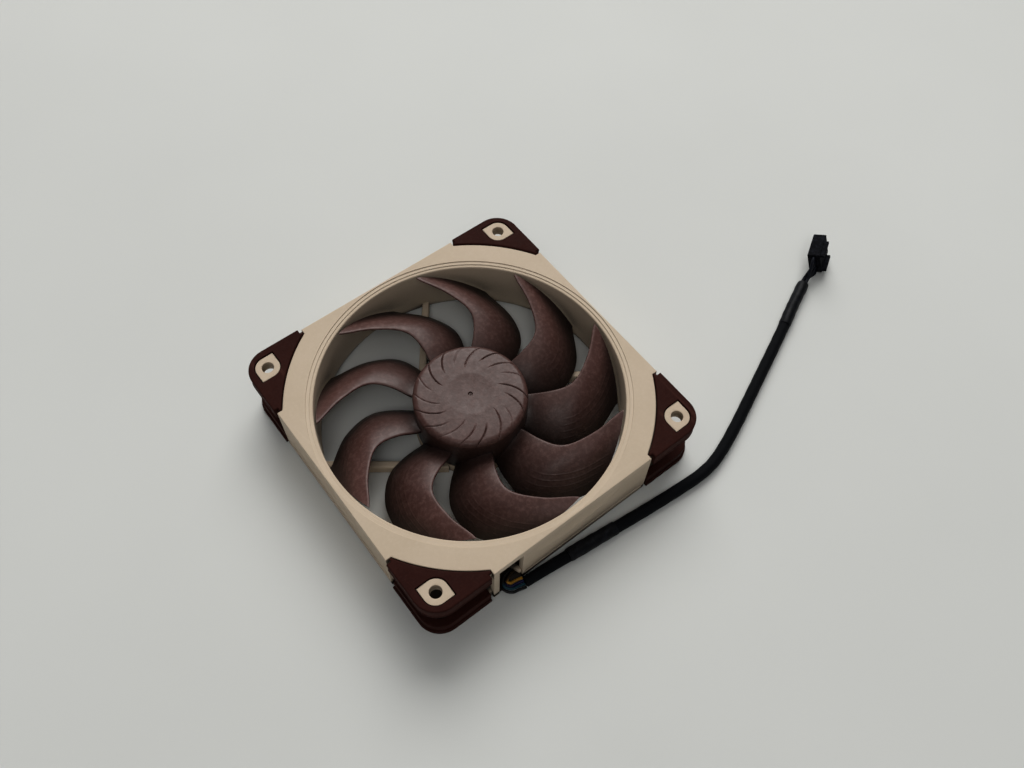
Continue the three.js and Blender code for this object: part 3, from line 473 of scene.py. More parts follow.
def materials():
    made = {}
    # Painted shade on the frame: a darker colour in crevices, and a near-black in its hollows by position.
    made["frame"] = moulded("frame_beige", linear(194, 178, 158), linear(188, 172, 151), linear(210, 196, 178),
                            0.5, 0.65, grain=2.4, grain_height=0.012, patch=0.05, speck=0.15, wear=0.3,
                            specular=0.3, shade=(12.0, 0.12, 0.5, linear(44, 32, 23)), painted_shade_by_place=frame_painted_shade)
    made["pads"] = moulded("pad_rubber", linear(52, 24, 19), linear(45, 20, 16), linear(84, 52, 44), 0.6, 0.75,
                           grain=3.0, grain_height=0.015, patch=0.08, speck=0.12, wear=0.3, specular=0.07)
    # Painted shade on the impeller: a darker colour in crevices, and darker by depth in the duct and on the hub's
    # side.
    made["impeller"] = moulded("impeller_brown", linear(84, 56, 51), linear(77, 51, 46), linear(112, 84, 79),
                               0.36, 0.5, grain=1.5, grain_height=0.06, patch=0.16, speck=0.6, wear=0.3,
                               specular=0.4, shade=(14.0, 0.2, 0.8, linear(20, 11, 9)), painted_shade_by_place=impeller_painted_shade)
    made["yoke"] = metal("yoke_steel", (0.42, 0.43, 0.45, 1), 0.3, 0.45)
    made["magnet"] = moulded("magnet_ferrite", linear(48, 48, 52), linear(40, 40, 44), linear(80, 80, 84), 0.6, 0.8)
    made["steel"] = metal("shaft_steel", (0.6, 0.61, 0.63, 1), 0.15, 0.25)
    made["core"] = metal("core_steel", (0.3, 0.31, 0.33, 1), 0.4, 0.55)
    made["insulators"] = moulded("insulator_white", linear(226, 222, 208), linear(216, 211, 196),
                                 linear(238, 236, 226), 0.45, 0.6)
    made["coils"] = metal("coil_copper", (0.62, 0.27, 0.13, 1), 0.25, 0.4, 1.5)
    made["circuit_board"] = moulded("board_green", linear(40, 92, 60), linear(32, 80, 52), linear(70, 124, 88),
                                    0.3, 0.45)
    made["chips"] = moulded("chip_black", linear(32, 32, 35), linear(26, 26, 29), linear(70, 70, 74), 0.45, 0.6)
    made["bearing_shell"] = metal("shell_brass", (0.62, 0.45, 0.18, 1), 0.25, 0.35)
    made["bearing_sleeve"] = metal("sleeve_bronze", (0.42, 0.28, 0.13, 1), 0.4, 0.55)
    made["thrust_plate"] = moulded("thrust_nylon", linear(214, 212, 200), linear(206, 203, 190),
                                   linear(230, 228, 220), 0.4, 0.5)
    made["rear_label"] = moulded("label_film", linear(150, 120, 96), linear(144, 114, 90), linear(170, 142, 118),
                                 0.3, 0.42, speck=0.1)
    wires = {"wire_yellow": (168, 124, 44), "wire_blue": (24, 28, 72), "wire_green": (16, 58, 72),
             "wire_black": (10, 11, 15)}
    for name, color in wires.items():
        base = linear(*color)
        # Painted shade: the wires' inner leg is painted near-black by position.
        made[name] = moulded(name + "_skin", base, tuple(c * 0.8 for c in base[:3]) + (1.0,),
                             tuple(min(1.0, c * 1.3 + 0.004) for c in base[:3]) + (1.0,), 0.35, 0.5, speck=0.15,
                             specular=0.25, painted_shade_by_place=wire_painted_shade)
    made["plug"] = moulded("plug_black", linear(14, 15, 19), linear(10, 11, 14), linear(44, 46, 54), 0.6, 0.75,
                           grain=2.0, grain_height=0.012, wear=0.15, specular=0.04)
    made["terminals"] = metal("terminal_tin", (0.7, 0.62, 0.45, 1), 0.25, 0.4)
    made["plug_wires"] = moulded("plug_wire_black", linear(14, 16, 24), linear(10, 12, 18), linear(40, 44, 58),
                                 0.45, 0.6, specular=0.12)
    made["heat_shrink"] = moulded("heat_shrink_black", linear(11, 13, 17), linear(8, 9, 12), linear(36, 38, 46),
                                  0.42, 0.58, grain=1.2, grain_height=0.04, wear=0.1, specular=0.13)
    made["lead_sleeve"] = braid_material()
    return made


def braid_material():
    """Fine black braid, drawn from the tube's own coordinates: u runs round it and v along it, in millimetres."""
    n = Nodes("lead_braid")
    sides = n.add("ShaderNodeSeparateXYZ")
    n.link(n.add("ShaderNodeUVMap", uv_map="UVMap").outputs["UV"], sides.inputs["Vector"])
    round_it, along_it = sides.outputs["X"], sides.outputs["Y"]
    one = n.math("SINE", n.math("MULTIPLY", n.math("ADD", round_it, along_it), 7.5))
    two = n.math("SINE", n.math("MULTIPLY", n.math("SUBTRACT", round_it, along_it), 7.5))
    weave = n.math("MULTIPLY", one, two)
    high = n.ramp(weave, -1.0, 1.0)
    tint = n.mix(high, linear(4, 5, 7), linear(15, 17, 22))
    normal = n.bump(high, 0.7, 0.12)
    n.shader.inputs["Specular IOR Level"].default_value = 0.08
    return n.done(tint, n.ramp(weave, -1, 1, 0.5, 0.7), normal)


# ------------------------------------------------------------------ paths and tubes
def smooth_path(points, step):
    """A centripetal curve through the points, with one point about every step."""
    points = [Vector(p) for p in points]
    ends = [points[0] * 2 - points[1]] + points + [points[-1] * 2 - points[-2]]
    out = []
    for i in range(1, len(ends) - 2):
        p0, p1, p2, p3 = ends[i - 1:i + 3]
        t0 = 0.0
        t1 = t0 + math.sqrt((p1 - p0).length)
        t2 = t1 + math.sqrt((p2 - p1).length)
        t3 = t2 + math.sqrt((p3 - p2).length)
        count = max(1, round((p2 - p1).length / step))
        for k in range(count):
            t = t1 + (t2 - t1) * k / count
            a1 = p0 * ((t1 - t) / (t1 - t0)) + p1 * ((t - t0) / (t1 - t0))
            a2 = p1 * ((t2 - t) / (t2 - t1)) + p2 * ((t - t1) / (t2 - t1))
            a3 = p2 * ((t3 - t) / (t3 - t2)) + p3 * ((t - t2) / (t3 - t2))
            b1 = a1 * ((t2 - t) / (t2 - t0)) + a2 * ((t - t0) / (t2 - t0))
            b2 = a2 * ((t3 - t) / (t3 - t1)) + a3 * ((t - t1) / (t3 - t1))
            out.append(b1 * ((t2 - t) / (t2 - t1)) + b2 * ((t - t1) / (t2 - t1)))
    out.append(points[-1])
    return out


def path_length(path):
    return sum((b - a).length for a, b in zip(path, path[1:]))


def tube_object(name, path, radius, sides):
    """A closed tube along a path. radius is a number, or a function of the distance along it and the angle."""
    points, faces, coords = [], [], []
    distances = [0.0]
    for a, b in zip(path, path[1:]):
        distances.append(distances[-1] + (b - a).length)
    for i, here in enumerate(path):
        ahead = path[min(i + 1, len(path) - 1)] - path[max(i - 1, 0)]
        side = ahead.cross(Vector((0, 0, 1))).normalized()
        lift = side.cross(ahead).normalized()
        for k in range(sides):
            angle = 2 * math.pi * k / sides
            r = radius(distances[i], angle) if callable(radius) else radius
            spot = here + side * (r * math.cos(angle)) + lift * (r * math.sin(angle))
            points.append(tuple(spot))
            coords.append((angle, distances[i]))
    for i in range(len(path) - 1):
        for k in range(sides):
            j = (k + 1) % sides
            faces.append((i * sides + k, i * sides + j, (i + 1) * sides + j, (i + 1) * sides + k))
    faces.append(tuple(reversed(range(sides))))
    faces.append(tuple((len(path) - 1) * sides + k for k in range(sides)))
    thing = mesh_object(name, points, faces, 60)
    layer = thing.data.uv_layers.new(name="UVMap")
    for polygon in thing.data.polygons:
        own = [thing.data.loops[i].vertex_index % sides for i in polygon.loop_indices]
        wraps = 0 in own and sides - 1 in own and len(own) == 4
        for loop_index in polygon.loop_indices:
            vertex = thing.data.loops[loop_index].vertex_index
            angle, distance = coords[vertex]
            if wraps and vertex % sides == 0:
                angle = 2 * math.pi
            layer.data[loop_index].uv = (angle * LEAD_RADIUS, distance)
    return thing


# ------------------------------------------------------------------ the lead, its wires and its plug
LEAD_RADIUS = 2.2
LEAD = [
    (-22.6, -61.9), (-15, -62.6), (-4.7, -63.7), (5, -64.8), (15, -65.9), (25, -67), (35, -68), (45, -68.8),
    (53, -69.2), (60, -68.7), (67, -66.9), (78, -62.8), (90, -57.7), (102, -52.5), (114, -47.3), (126.9, -41.6),
    (138, -36.4), (148.4, -31.9),
]
STRUT_TURN = -127.3  # the strut that carries the wires
STRUT_LINE = 19.3  # how far a strut's middle line passes from the axis
STRUT_ROUTE = [(0.6, 17.5, 1.7), (4, 18.2, 1.7), (9, STRUT_LINE, 1.7), (20, STRUT_LINE, 1.7),
               (34, STRUT_LINE, 1.7), (48, STRUT_LINE, 1.7)]
EXIT_ROUTE = [(-17.2, -54.4, 1.7), (-19.4, -55.7, 1.9), (-22.6, -56, 2.4), (-26, -56.4, 3), (-28.6, -57.5, 3.2),
              (-29.2, -59.2, 3.2), (-28, -60.8, 2.9), (-25.6, -61.2, 2.4), (-23, -61.8, 2.1)]
SPREAD = [0, 0, 0, 0.1, 0.3, 0.5, 0.7, 0.9, 1]  # how far the wires lie side by side at each point of EXIT_ROUTE
WIRE_RADIUS = 0.52
PLUG_WIRE_RADIUS = 0.6
PLUG_PLACE = (157.0, -28.8, 6.2)
PLUG_YAW = 30.0
PLUG_ROLL = -21.5
PLUG_LENGTH = 12
PLUG_WAYS = [1.5 * 2.54, 0.5 * 2.54, -0.5 * 2.54, -1.5 * 2.54]
SHRINK_ONE = (17.9, 37.9)  # from one distance along the lead to another
SHRINK_TWO = (155.4, 178.6)


def lead_radius(distance, angle):
    """The sleeve is a little thinner where it starts."""
    grow = min(1.0, distance / 20)
    return 2.0 + 0.22 * grow + 0.03 * math.sin(distance * 0.9 + 2 * angle) * grow


def strut_point(along, across, height):
    turn = math.radians(STRUT_TURN)
    c, s = math.cos(turn), math.sin(turn)
    return (along * c - across * s, along * s + across * c, height)


def bundle_place(index, spread):
    """Where a wire lies in the bundle: two pairs that turn over on their sides as they spread."""
    pair = 1 if index < 2 else -1
    member = 1 if index % 2 == 0 else -1
    angle = spread * math.pi / 2
    return (pair * (1 + spread) + member * math.sin(angle)) * 0.6, member * math.cos(angle) * 0.6


def wire_route(route, index):
    out = []
    straight = len(route) - len(SPREAD)
    for i, point in enumerate(route):
        before, after = route[max(0, i - 1)], route[min(len(route) - 1, i + 1)]
        run = Vector((after[0] - before[0], after[1] - before[1])).normalized()
        across, up = bundle_place(index, 0 if i < straight else SPREAD[i - straight])
        out.append((point[0] - run.y * across, point[1] + run.x * across, point[2] + up))
    return out


def part_of_path(path, start, end):
    """The stretch of a path between two distances."""
    out, distance = [], 0.0
    for a, b in zip(path, path[1:]):
        step = (b - a).length
        for limit in (start, end):
            if distance < limit <= distance + step:
                out.append(a.lerp(b, (limit - distance) / step))
        distance += step
        if start < distance < end:
            out.append(b)
    return out


def add_cord(looks):
    route = [(x, y, 2.25) for x, y in LEAD]
    path = smooth_path(route, 1.0)
    length = path_length(path)
    lead = tube_object("lead", path, lead_radius, 28)
    finish_piece(lead, "stator", "lead_sleeve", looks["lead_sleeve"], "lead_sleeve", "lead_sleeve_short")
    pieces = []

    def shrink_radius(base, start, end):
        def radius(distance, angle):
            edge = min(distance, end - start - distance)
            lip = 0.25 * max(0.0, 1 - edge / 0.6)
            waves = 0.05 * math.sin(distance * 1.3 + 0.7) + 0.05 * math.sin(2 * angle + distance * 0.35)
            return base + waves - lip * 0.6
        return radius

    for name, node, (start, end), base in (("heat_shrink_one", "heat_shrink_inner", SHRINK_ONE, 2.52),
                                           ("heat_shrink_two", "heat_shrink_outer", SHRINK_TWO, 2.4)):
        stretch = part_of_path(path, start, min(end, length))
        stretch = [Vector((p.x, p.y, base + 0.08)) for p in stretch]
        skin = tube_object(name, stretch, shrink_radius(base, start, end), 32)
        finish_piece(skin, "stator", "heat_shrink", looks["heat_shrink"], node)
        pieces.append(skin)
    main = [strut_point(*point) for point in STRUT_ROUTE] + EXIT_ROUTE
    for index, name in enumerate(("wire_yellow", "wire_blue", "wire_green", "wire_black")):
        wire = tube_object(name + "_run", smooth_path(wire_route(main, index), 0.7), WIRE_RADIUS, 14)
        finish_piece(wire, "stator", name, looks[name], name)
        pieces.append(wire)
    pieces += add_plug(looks, path[-1], (path[-1] - path[-3]).normalized())


def plug_matrix():
    turn = Matrix.Rotation(math.radians(PLUG_YAW), 4, "Z") @ Matrix.Rotation(math.radians(PLUG_ROLL), 4, "X")
    return Matrix.Translation(Vector(PLUG_PLACE)) @ turn


def along_x(part):
    """A slab drawn in the (thickness, width) plane, laid so that its height runs along X."""
    points, faces = part
    return [(z, x, y) for x, y, z in points], faces


def add_plug(looks, lead_end, run):
    place = plug_matrix()

    def rectangle(y0, z0, y1, z1, corner):
        return rounded([(y0, z0, corner), (y1, z0, corner), (y1, z1, corner), (y0, z1, corner)], 3)

    sockets = [rectangle(-0.85, z - 0.85, 0.85, z + 0.85, 0.15) for z in PLUG_WAYS]
    parts = [along_x(slab(rectangle(-2.6, -5.1, 2.6, 5.1, 0.35), sockets, 0, PLUG_LENGTH, 0.25, 0.25, 0.1, 0.1))]
    for z in (-4.1, 4.1):
        rib = slab(rectangle(-4.3, z - 0.6, -2.4, z + 0.6, 0.2), [], 0.3, 8.7, 0.2, 0.2)
        parts.append(along_x(rib))
    for z in PLUG_WAYS:
        window = slab(rectangle(2.5, z - 0.6, 2.72, z + 0.6, 0.05), [], 4.2, 6.4, 0.05, 0.05)
        parts.append(along_x(window))
    parts = [([tuple(place @ Vector(p)) for p in points], faces) for points, faces in parts]
    housing = joined("plug_body", parts)
    finish_piece(housing, "stator", "plug", looks["plug"], "plug_housing")
    pieces = [housing]
    ahead = Vector((run.x, run.y, 0))
    for i, height in enumerate(PLUG_WAYS):
        level = 2.55 + (1.5 - i) * 0.95
        beside = Vector((-run.y, run.x, 0)) * (0.75 if i % 2 else -0.75)
        middle = Vector((lead_end.x, lead_end.y, level)) + beside
        ends = [place @ Vector((x, 0, height)) for x in (-2.2, 0, 3.2)]
        route = [middle - ahead * 1.5, middle + ahead * 2.2] + ends
        wire = tube_object(f"plug_wire_run_{i + 1}", smooth_path(route, 0.6), PLUG_WIRE_RADIUS, 14)
        finish_piece(wire, "stator", "plug_wires", looks["plug_wires"], f"plug_wire_{i + 1}")
        pieces.append(wire)
    pieces += [frame["nodes"][f"terminal_{i + 1}"] for i in range(len(PLUG_WAYS))]
    return pieces


# ------------------------------------------------------------------ the frame
def plate_outline(reach, end, arc_radius):
    """The square with its corners cut back to an arc round the fan's axis."""
    out = []
    side = math.sqrt(arc_radius ** 2 - end ** 2)
    angle = math.degrees(math.atan2(end, side))
    for turn in range(4):
        quarter = [(reach, -end), (reach, end)]
        quarter += [(side, end)] + arc(arc_radius, angle, 90 - angle, 24)[1:-1] + [(end, side)]
        out += turned_loop(quarter, 90 * turn)
    return out


def open_ring(outline, radius, x0, x1):
    """The plate between an outline and a circle, as one loop, with a gap in its front side from x0 to x1."""
    level = min(y for _, y in outline)
    on_front = [i for i, (x, y) in enumerate(outline) if y < level + 0.01 and x > x1]
    start = min(on_front, key=lambda i: outline[i][0])
    loop = [(x1, level)] + outline[start:] + outline[:start] + [(x0, level)]
    low, high = (math.degrees(math.atan2(-math.sqrt(radius ** 2 - x ** 2), x)) for x in (x0, x1))
    return loop + arc(radius, low, high - 360, 240)


def rounded_square(half, corner):
    corners = [(half, -half, corner), (half, half, corner), (-half, half, corner), (-half, -half, corner)]
    return rounded(corners, 10)


def eye_outline(grow):
    """The raised island round a screw hole: a square with two opposite corners rounded off."""
    half = 4.5 + grow
    corner = half - 0.01
    points = rounded([(-half, half, 0.15), (-half, -half, corner), (half, -half, 0.15), (half, half, corner)], 14)
    return [(x + PITCH, y + PITCH) for x, y in points]


def side_wall(x0, x1, detailed=True):
    """One flat side, looking along -Y, with its scoop and its lower band."""
    columns, rows = 110, 60
    z0, z1 = BOTTOM, 21.75
    points, faces = [], []

    def depth(x, z):
        d = 0.0
        edge = 21.45 - z
        if edge > 0:
            share = (x / 20.0) ** 2 + (edge / 8.6) ** 2
            if share < 1:
                d = max(d, 1.15 * (1 - share) ** 0.6 * min(1.0, edge / 0.5))
        if z > 21.6:
            d = max(d, 0.05)
        band = min(1.0, max(0.0, (7.9 - z) / 0.8)) * min(1.0, max(0.0, (z - 1.3) / 0.6))
        band *= min(1.0, max(0.0, (x1 - 1.2 - x) / 0.8)) * min(1.0, max(0.0, (x - x0 - 1.2) / 0.8))
        d = max(d, 0.3 * band if detailed else 0.0)
        low = 0.4 - (z - z0)
        if low > 0:
            d = max(d, 0.4 - math.sqrt(max(0.0, 0.16 - low * low)))
        return d

    for j in range(rows + 1):
        z = z0 + (z1 - z0) * (j / rows)
        for i in range(columns + 1):
            x = x0 + (x1 - x0) * i / columns
            points.append((x, -FRAME_HALF + depth(x, z), z))
    back = len(points)
    for j in range(rows + 1):
        z = z0 + (z1 - z0) * (j / rows)
        for i in range(columns + 1):
            points.append((x0 + (x1 - x0) * i / columns, -FRAME_HALF + WALL, z))
    width = columns + 1
    for j in range(rows):
        for i in range(columns):
            a = j * width + i
            faces.append((a, a + 1, a + width + 1, a + width))
            faces.append((back + a, back + a + width, back + a + width + 1, back + a + 1))
    edge = list(range(width))
    edge += [j * width + columns for j in range(1, rows + 1)]
    edge += [rows * width + i for i in range(columns - 1, -1, -1)]
    edge += [j * width for j in range(rows - 1, 0, -1)]
    for a, b in zip(edge, edge[1:] + edge[:1]):
        faces.append((a, back + a, back + b, b))
    return points, faces


def struts():
    """Four struts. The last one is a channel for the wires: two walls and a cover."""
    near, far = 8.0, math.sqrt(57.0 ** 2 - STRUT_LINE ** 2)
    plain = [(-1.4, 1.4, BOTTOM, BOTTOM + 4.4, 0.7, 0.3)]
    channel = [(-2.8, -1.7, BOTTOM, BOTTOM + 4.0, 0.0, 0.2), (1.7, 2.8, BOTTOM, BOTTOM + 4.0, 0.0, 0.2),
               (-2.79, 2.79, BOTTOM + 2.9, BOTTOM + 4.4, 0.6, 0.2)]
    parts = []
    for number, bars in enumerate([plain, plain, plain, channel]):
        turn = STRUT_TURN + 90 * (3 - number)
        for a, b, low, high, top, bottom in bars:
            outline = [(near, STRUT_LINE + a), (far, STRUT_LINE + a), (far, STRUT_LINE + b), (near, STRUT_LINE + b)]
            parts.append(moved(slab(outline, [], low, high, top, bottom), turn))
    return parts


def add_frame(looks):
    start, end = SLOT
    signs = [(sx, sy) for sx in (-1, 1) for sy in (-1, 1)]
    screw_holes = [circle(HOLE + 0.05, 40, sx * PITCH, sy * PITCH) for sx, sy in signs]
    plate = plate_outline(FRAME_HALF, PAD_END - GAP, PAD_ARC - GAP)
    under = rounded_square(INNER_HALF, INNER_CORNER)
    parts = [
        slab(plate, [circle(STEP_OUTER, 256)], 21.7, TOP, 0.35, 0.0, 0.12, 0.0),
        slab(under, [circle(58.0, 256)] + screw_holes, 20.1, 23.1, 0.2, 0.2),
        slab(open_ring(plate, 57.8, start, end), [], BOTTOM, 3.3, 0.0, 0.35),
        slab(open_ring(under, 57.8, start, end), screw_holes, 1.9, 4.9, 0.2, 0.2),
    ]
    duct = [(59.2, 24.1), (59.2, TOP - 0.35), (STEP_INNER + 0.1, TOP - 0.35), (STEP_INNER, TOP - 0.45),
            (STEP_INNER, TOP - 0.7), (BORE + 0.5, TOP - 0.7), (BORE + 0.2, TOP - 0.8), (BORE + 0.05, TOP - 1.1),
            (BORE, TOP - 1.6), (BORE, 4.9), (57.5, 0.65), (57.75, BOTTOM), (58.2, BOTTOM + 0.02), (58.3, 4.0),
            (DUCT_OUTER, 4.1), (DUCT_OUTER, 20.6), (58.3, 20.7), (58.4, 24.1)]
    parts.append(lathe(duct, 256))
    reach = PAD_END - GAP
    for turn in range(4):
        if turn == 0:
            parts += [side_wall(end, reach), side_wall(-reach, start, False)]
        else:
            parts.append(moved(side_wall(-reach, reach), 90 * turn))
        eye = slab(eye_outline(0), [circle(HOLE, 48, PITCH, PITCH)], 20.1, TOP, 0.22, 0.2, 0.25, 0.2)
        parts.append(moved(eye, 90 * turn))
        parts.append(moved(moved(eye, 0, True), 90 * turn))
    parts += struts()
    base = [(0.0, 0.9), (15.9, 0.9), (15.9, 0.55), (16.05, BOTTOM), (20.8, BOTTOM), (21.2, 0.75), (21.2, 3.9),
            (20.9, 4.3), (20.2, 4.3), (20.0, 4.1), (20.0, 2.4), (5.6, 2.4), (5.6, 14.5), (4.6, 14.5), (4.6, 2.4),
            (0.0, 2.4)]
    parts.append(lathe(base, 128))
    hook = rounded([(-26.3, -50.8, 0.3), (-24.9, -51.5, 0.3), (-21.3, -58.2, 0.4), (-22.9, -59.3, 0.6)], 4)
    parts.append(slab(hook, [], 5.0, 7.4, 0.4, 0.3))
    # A dark plate that stands in for the shade in the slot's opening in the rear flange, painted near-black, and
    # closes most of it. The CAD part is open here.
    shade_plate = [(start + 0.1, -59.2), (end - 0.1, -59.2), (end - 0.1, -53.2), (-27.0, -50.9), (start + 0.1, -47.8)]
    parts.append(slab(shade_plate, [], 1.3, 1.9, 0.1, 0.1))
    body = joined("frame_moulding", parts)
    finish_piece(body, "stator", "frame", looks["frame"], "frame")


# ------------------------------------------------------------------ the rubber pads
def pad_outline():
    """A pad's face at the corner with x and y above zero."""
    side = math.sqrt(PAD_ARC ** 2 - PAD_END ** 2)
    angle = math.degrees(math.atan2(PAD_END, side))
    level, start = HALF - PAD_STEP, PAD_END + 1.0
    out = [(start, HALF), (start, level), (PAD_END, level), (PAD_END, side)]
    out += arc(PAD_ARC, 90 - angle, angle, 24)[1:-1]
    out += [(side, PAD_END), (level, PAD_END), (level, start), (HALF, start)]
    out += arc(PAD_CORNER, 0, 90, 14, HALF - PAD_CORNER, HALF - PAD_CORNER)
    return out


def band_outline(outer_inset, inner_inset):
    """The strip that follows a pad's outer edge."""
    a, b = HALF - outer_inset, HALF - inner_inset
    ra, rb = PAD_CORNER - outer_inset, PAD_CORNER - inner_inset
    middle = HALF - PAD_CORNER
    start = PAD_END + 1.0
    out = [(a, start)] + arc(ra, 0, 90, 14, middle, middle) + [(start, a), (start, b)]
    out += arc(rb, 90, 0, 14, middle, middle) + [(b, start)]
    return out


def add_pads(looks):
    wall_end = DEPTH - PAD_WALL
    upper = [
        slab(pad_outline(), [eye_outline(GAP)], DEPTH - 1.6, DEPTH, 0.55, 0.0, 0.15, 0.0, 5),
        slab(band_outline(0.15, 1.6), [], wall_end + 0.9, DEPTH - 1.4, 0.0, 0.0),
        slab(band_outline(0, 1.6), [], wall_end, wall_end + 1.1, 0.25, 0.4),
        slab(band_outline(1.5, 3.6), [], wall_end, wall_end + 1.0, 0.0, 0.2),
    ]
    lower = [
        upper[0],
        slab(band_outline(0.7, 1.8), [], wall_end, DEPTH - 1.4, 0.0, 0.3),
        upper[3],
        slab(band_outline(0, 1.8), [], DEPTH - 2.1, DEPTH - 1.5, 0.0, 0.35),
    ]
    names = ["back_right", "back_left", "front_left", "front_right"]
    for turn, name in enumerate(names):
        for over, level in ((False, "intake"), (True, "rear")):
            extra = 90 if over else 0
            parts = [moved(moved(part, 0, over), 90 * turn + extra) for part in (lower if over else upper)]
            pad = joined(f"rubber_{level}_{name}", parts)
            finish_piece(pad, "stator", "pads", looks["pads"], f"pad_{level}_{name}")


# ------------------------------------------------------------------ the impeller
LEAD_EDGE = [(-145.0, 14.4), (-148.4, 17.0), (-146.7, 19.0), (-135.4, 21.3), (-124.3, 23.6)]
TRAIL_EDGE = [(-181.5, 6.7), (-181.0, 6.6), (-177.3, 6.4), (-167.3, 6.3), (-152.7, 8.7)]
BOW = [1.9, 2.3, 2.2, 1.7, 1.1]


def spline(values, share):
    """A value part of the way along a list, on a Catmull-Rom curve."""
    place = share * (len(values) - 1)
    i = min(int(place), len(values) - 2)
    t = place - i
    p1, p2 = values[i], values[i + 1]
    p0 = values[i - 1] if i > 0 else p1
    p3 = values[i + 2] if i + 2 < len(values) else p2
    return 0.5 * (2 * p1 + (p2 - p0) * t + (2 * p0 - 5 * p1 + 4 * p2 - p3) * t * t
                  + (3 * p1 - p0 - 3 * p2 + p3) * t ** 3)


def blade_middle(span, chord):
    lead = spline([a for a, _ in LEAD_EDGE], span)
    trail = spline([a for a, _ in TRAIL_EDGE], span)
    high = spline([z for _, z in LEAD_EDGE], span)
    low = spline([z for _, z in TRAIL_EDGE], span)
    radius = HUB - 0.6 + (TIP - HUB + 0.6) * span
    angle = math.radians(lead + (trail - lead) * chord)
    z = high + (low - high) * chord + 4 * chord * (1 - chord) * spline(BOW, span)
    return Vector((radius * math.cos(angle), radius * math.sin(angle), z))


def raised_lines(span, chord):
    """Four fine ridges along the outer part of the blade, near its trailing edge."""
    total = 0.0
    ends = min(1.0, max(0.0, (span - 0.38) / 0.1)) * min(1.0, max(0.0, (0.97 - span) / 0.05))
    for k in range(4):
        place = 0.56 + 0.1 * k - 0.12 * (span - 0.5) + 0.1 * (span - 0.7) ** 2
        total = max(total, 1 - min(1.0, abs(chord - place) / 0.012))
    return 0.1 * total * ends


def blade_part():
    rows, columns = 56, 120
    points, faces = [], []
    grid = {}
    for side in (1, -1):
        for i in range(rows + 1):
            span = i / rows
            for j in range(columns + 1):
                chord = 0.6 * j / columns + 0.2 * (1 - math.cos(math.pi * j / columns))
                here = blade_middle(span, chord)
                ds = blade_middle(min(1.0, span + 0.01), chord) - blade_middle(max(0.0, span - 0.01), chord)
                dc = blade_middle(span, min(1.0, chord + 0.01)) - blade_middle(span, max(0.0, chord - 0.01))
                normal = ds.cross(dc).normalized()
                if normal.z < 0:
                    normal = -normal
                thick = 1.3 - 0.4 * span + 1.1 * math.exp(-span * 34.5 / 1.1)
                shape = 0.25 + 0.75 * min(1.0, math.sqrt(max(0.0, 1 - (1 - min(1.0, chord / 0.05)) ** 2)))
                shape *= 1 - 0.55 * max(0.0, chord - 0.3) / 0.7
                lift = side * thick * shape / 2 + (raised_lines(span, chord) if side == 1 else 0.0)
                points.append(tuple(here + normal * lift))
                grid[side, i, j] = len(points) - 1
    for i in range(rows):
        for j in range(columns):
            faces.append((grid[1, i, j], grid[1, i, j + 1], grid[1, i + 1, j + 1], grid[1, i + 1, j]))
            faces.append((grid[-1, i, j], grid[-1, i + 1, j], grid[-1, i + 1, j + 1], grid[-1, i, j + 1]))
        faces.append((grid[1, i, columns], grid[-1, i, columns], grid[-1, i + 1, columns], grid[1, i + 1, columns]))
        faces.append((grid[1, i, 0], grid[1, i + 1, 0], grid[-1, i + 1, 0], grid[-1, i, 0]))
    for j in range(columns):
        faces.append((grid[1, rows, j], grid[1, rows, j + 1], grid[-1, rows, j + 1], grid[-1, rows, j]))
        faces.append((grid[1, 0, j], grid[-1, 0, j], grid[-1, 0, j + 1], grid[1, 0, j + 1]))
    return points, faces


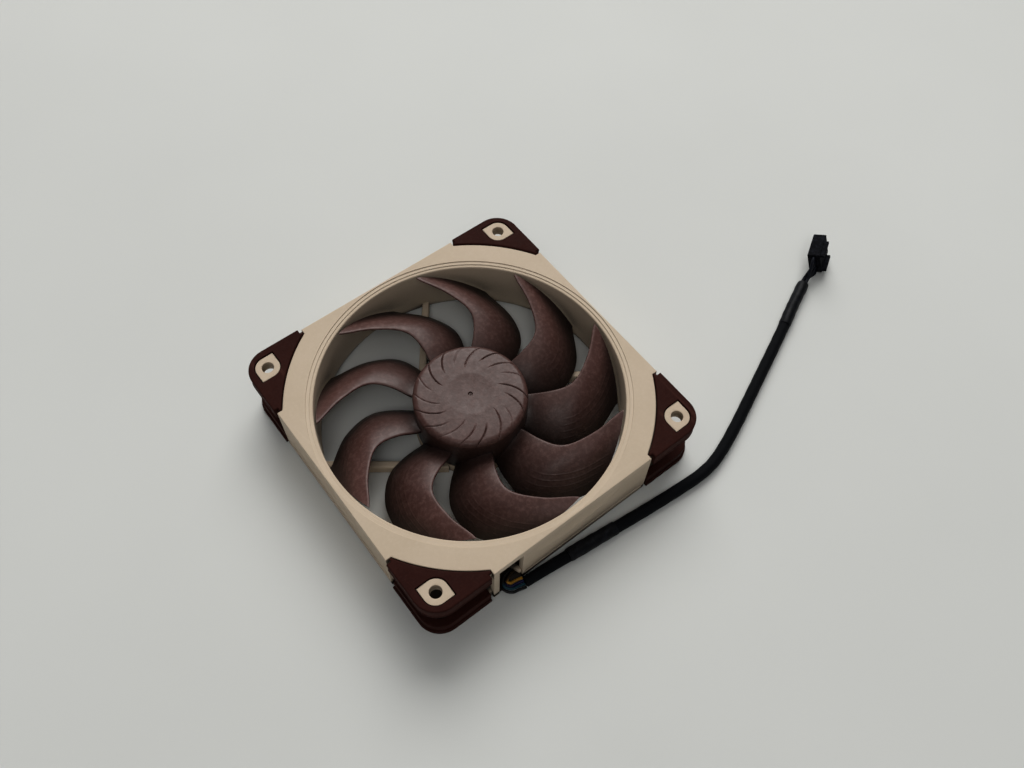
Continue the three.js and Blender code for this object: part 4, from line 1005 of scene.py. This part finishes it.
def hub_part():
    """The hub as a polar grid, with curved grooves that run in from its rim."""
    sides = 720
    flat = HUB - HUB_ROUND
    rings = []
    for i in range(1, 60):
        rings.append((flat * i / 60, "top"))
    for i in range(15):
        rings.append((math.pi / 2 * i / 14, "round"))
    points, faces = [], []

    def groove(radius, angle):
        total = 0.0
        for k in range(GROOVES):
            start = 2 * math.pi * (k + 0.12 * math.sin(3.1 * k)) / GROOVES
            inner = 12.0 + 1.8 * math.sin(2.3 * k)
            if radius < inner:
                continue
            line = start + 0.6 * (1 - (radius / HUB) ** 2)
            gap = (angle - line + math.pi) % (2 * math.pi) - math.pi
            across = abs(gap) * radius
            fade = min(1.0, (radius - inner) / 2.5)
            total = max(total, fade * (1 - min(1.0, across / 0.3)) * (0.8 + 0.3 * math.sin(1.7 * k)))
        return 0.5 * total

    points.append((0, 0, HUB_FACE - 0.45))
    start_of = []
    for value, kind in rings:
        start_of.append(len(points))
        for k in range(sides):
            angle = 2 * math.pi * k / sides
            if kind == "top":
                radius = value
                z = HUB_FACE - 0.35 * (1 - min(1.0, radius / HUB_DISH) ** 2) - 0.2 * (radius / flat) ** 4
                if radius < 0.7:
                    z -= 0.5
                z -= groove(radius, angle)
            else:
                radius = flat + HUB_ROUND * math.sin(value)
                z = HUB_FACE - 0.2 - (HUB_ROUND - 0.2) * (1 - math.cos(value)) - groove(radius, angle)
            points.append((radius * math.cos(angle), radius * math.sin(angle), z))
    for radius, z in ((HUB, 12.0), (HUB, HUB_FLOOR + 0.3), (HUB - 0.3, HUB_FLOOR), (HUB - HUB_WALL, HUB_FLOOR),
                      (HUB - HUB_WALL, HUB_FACE - 1.8), (1.8, HUB_FACE - 1.8), (1.8, HUB_FACE - 1.0)):
        start_of.append(len(points))
        for k in range(sides):
            angle = 2 * math.pi * k / sides
            points.append((radius * math.cos(angle), radius * math.sin(angle), z))
    for k in range(sides):
        faces.append((0, start_of[0] + k, start_of[0] + (k + 1) % sides))
    for a, b in zip(start_of, start_of[1:]):
        for k in range(sides):
            j = (k + 1) % sides
            faces.append((a + k, b + k, b + j, a + j))
    faces.append(tuple(start_of[-1] + k for k in range(sides)))
    return points, faces


def add_impeller(looks):
    blade = blade_part()
    parts = [hub_part()] + [moved(blade, 360 / BLADES * k) for k in range(BLADES)]
    wheel = joined("impeller_wheel", parts)
    finish_piece(wheel, "rotor", "impeller", looks["impeller"], "impeller")


# ------------------------------------------------------------------ the CAD pieces that stay
def dress_nodes(looks):
    slots = {entry["node"]: entry["material_slot"] for entry in frame["record"]["subparts"]}
    for name, node in frame["nodes"].items():
        if not node.hide_render:
            node.data.materials.clear()
            node.data.materials.append(looks[slots[name]])


add_camera()
looks = materials()
add_cord(looks)
add_stage()
add_frame(looks)
add_pads(looks)
add_impeller(looks)
dress_nodes(looks)
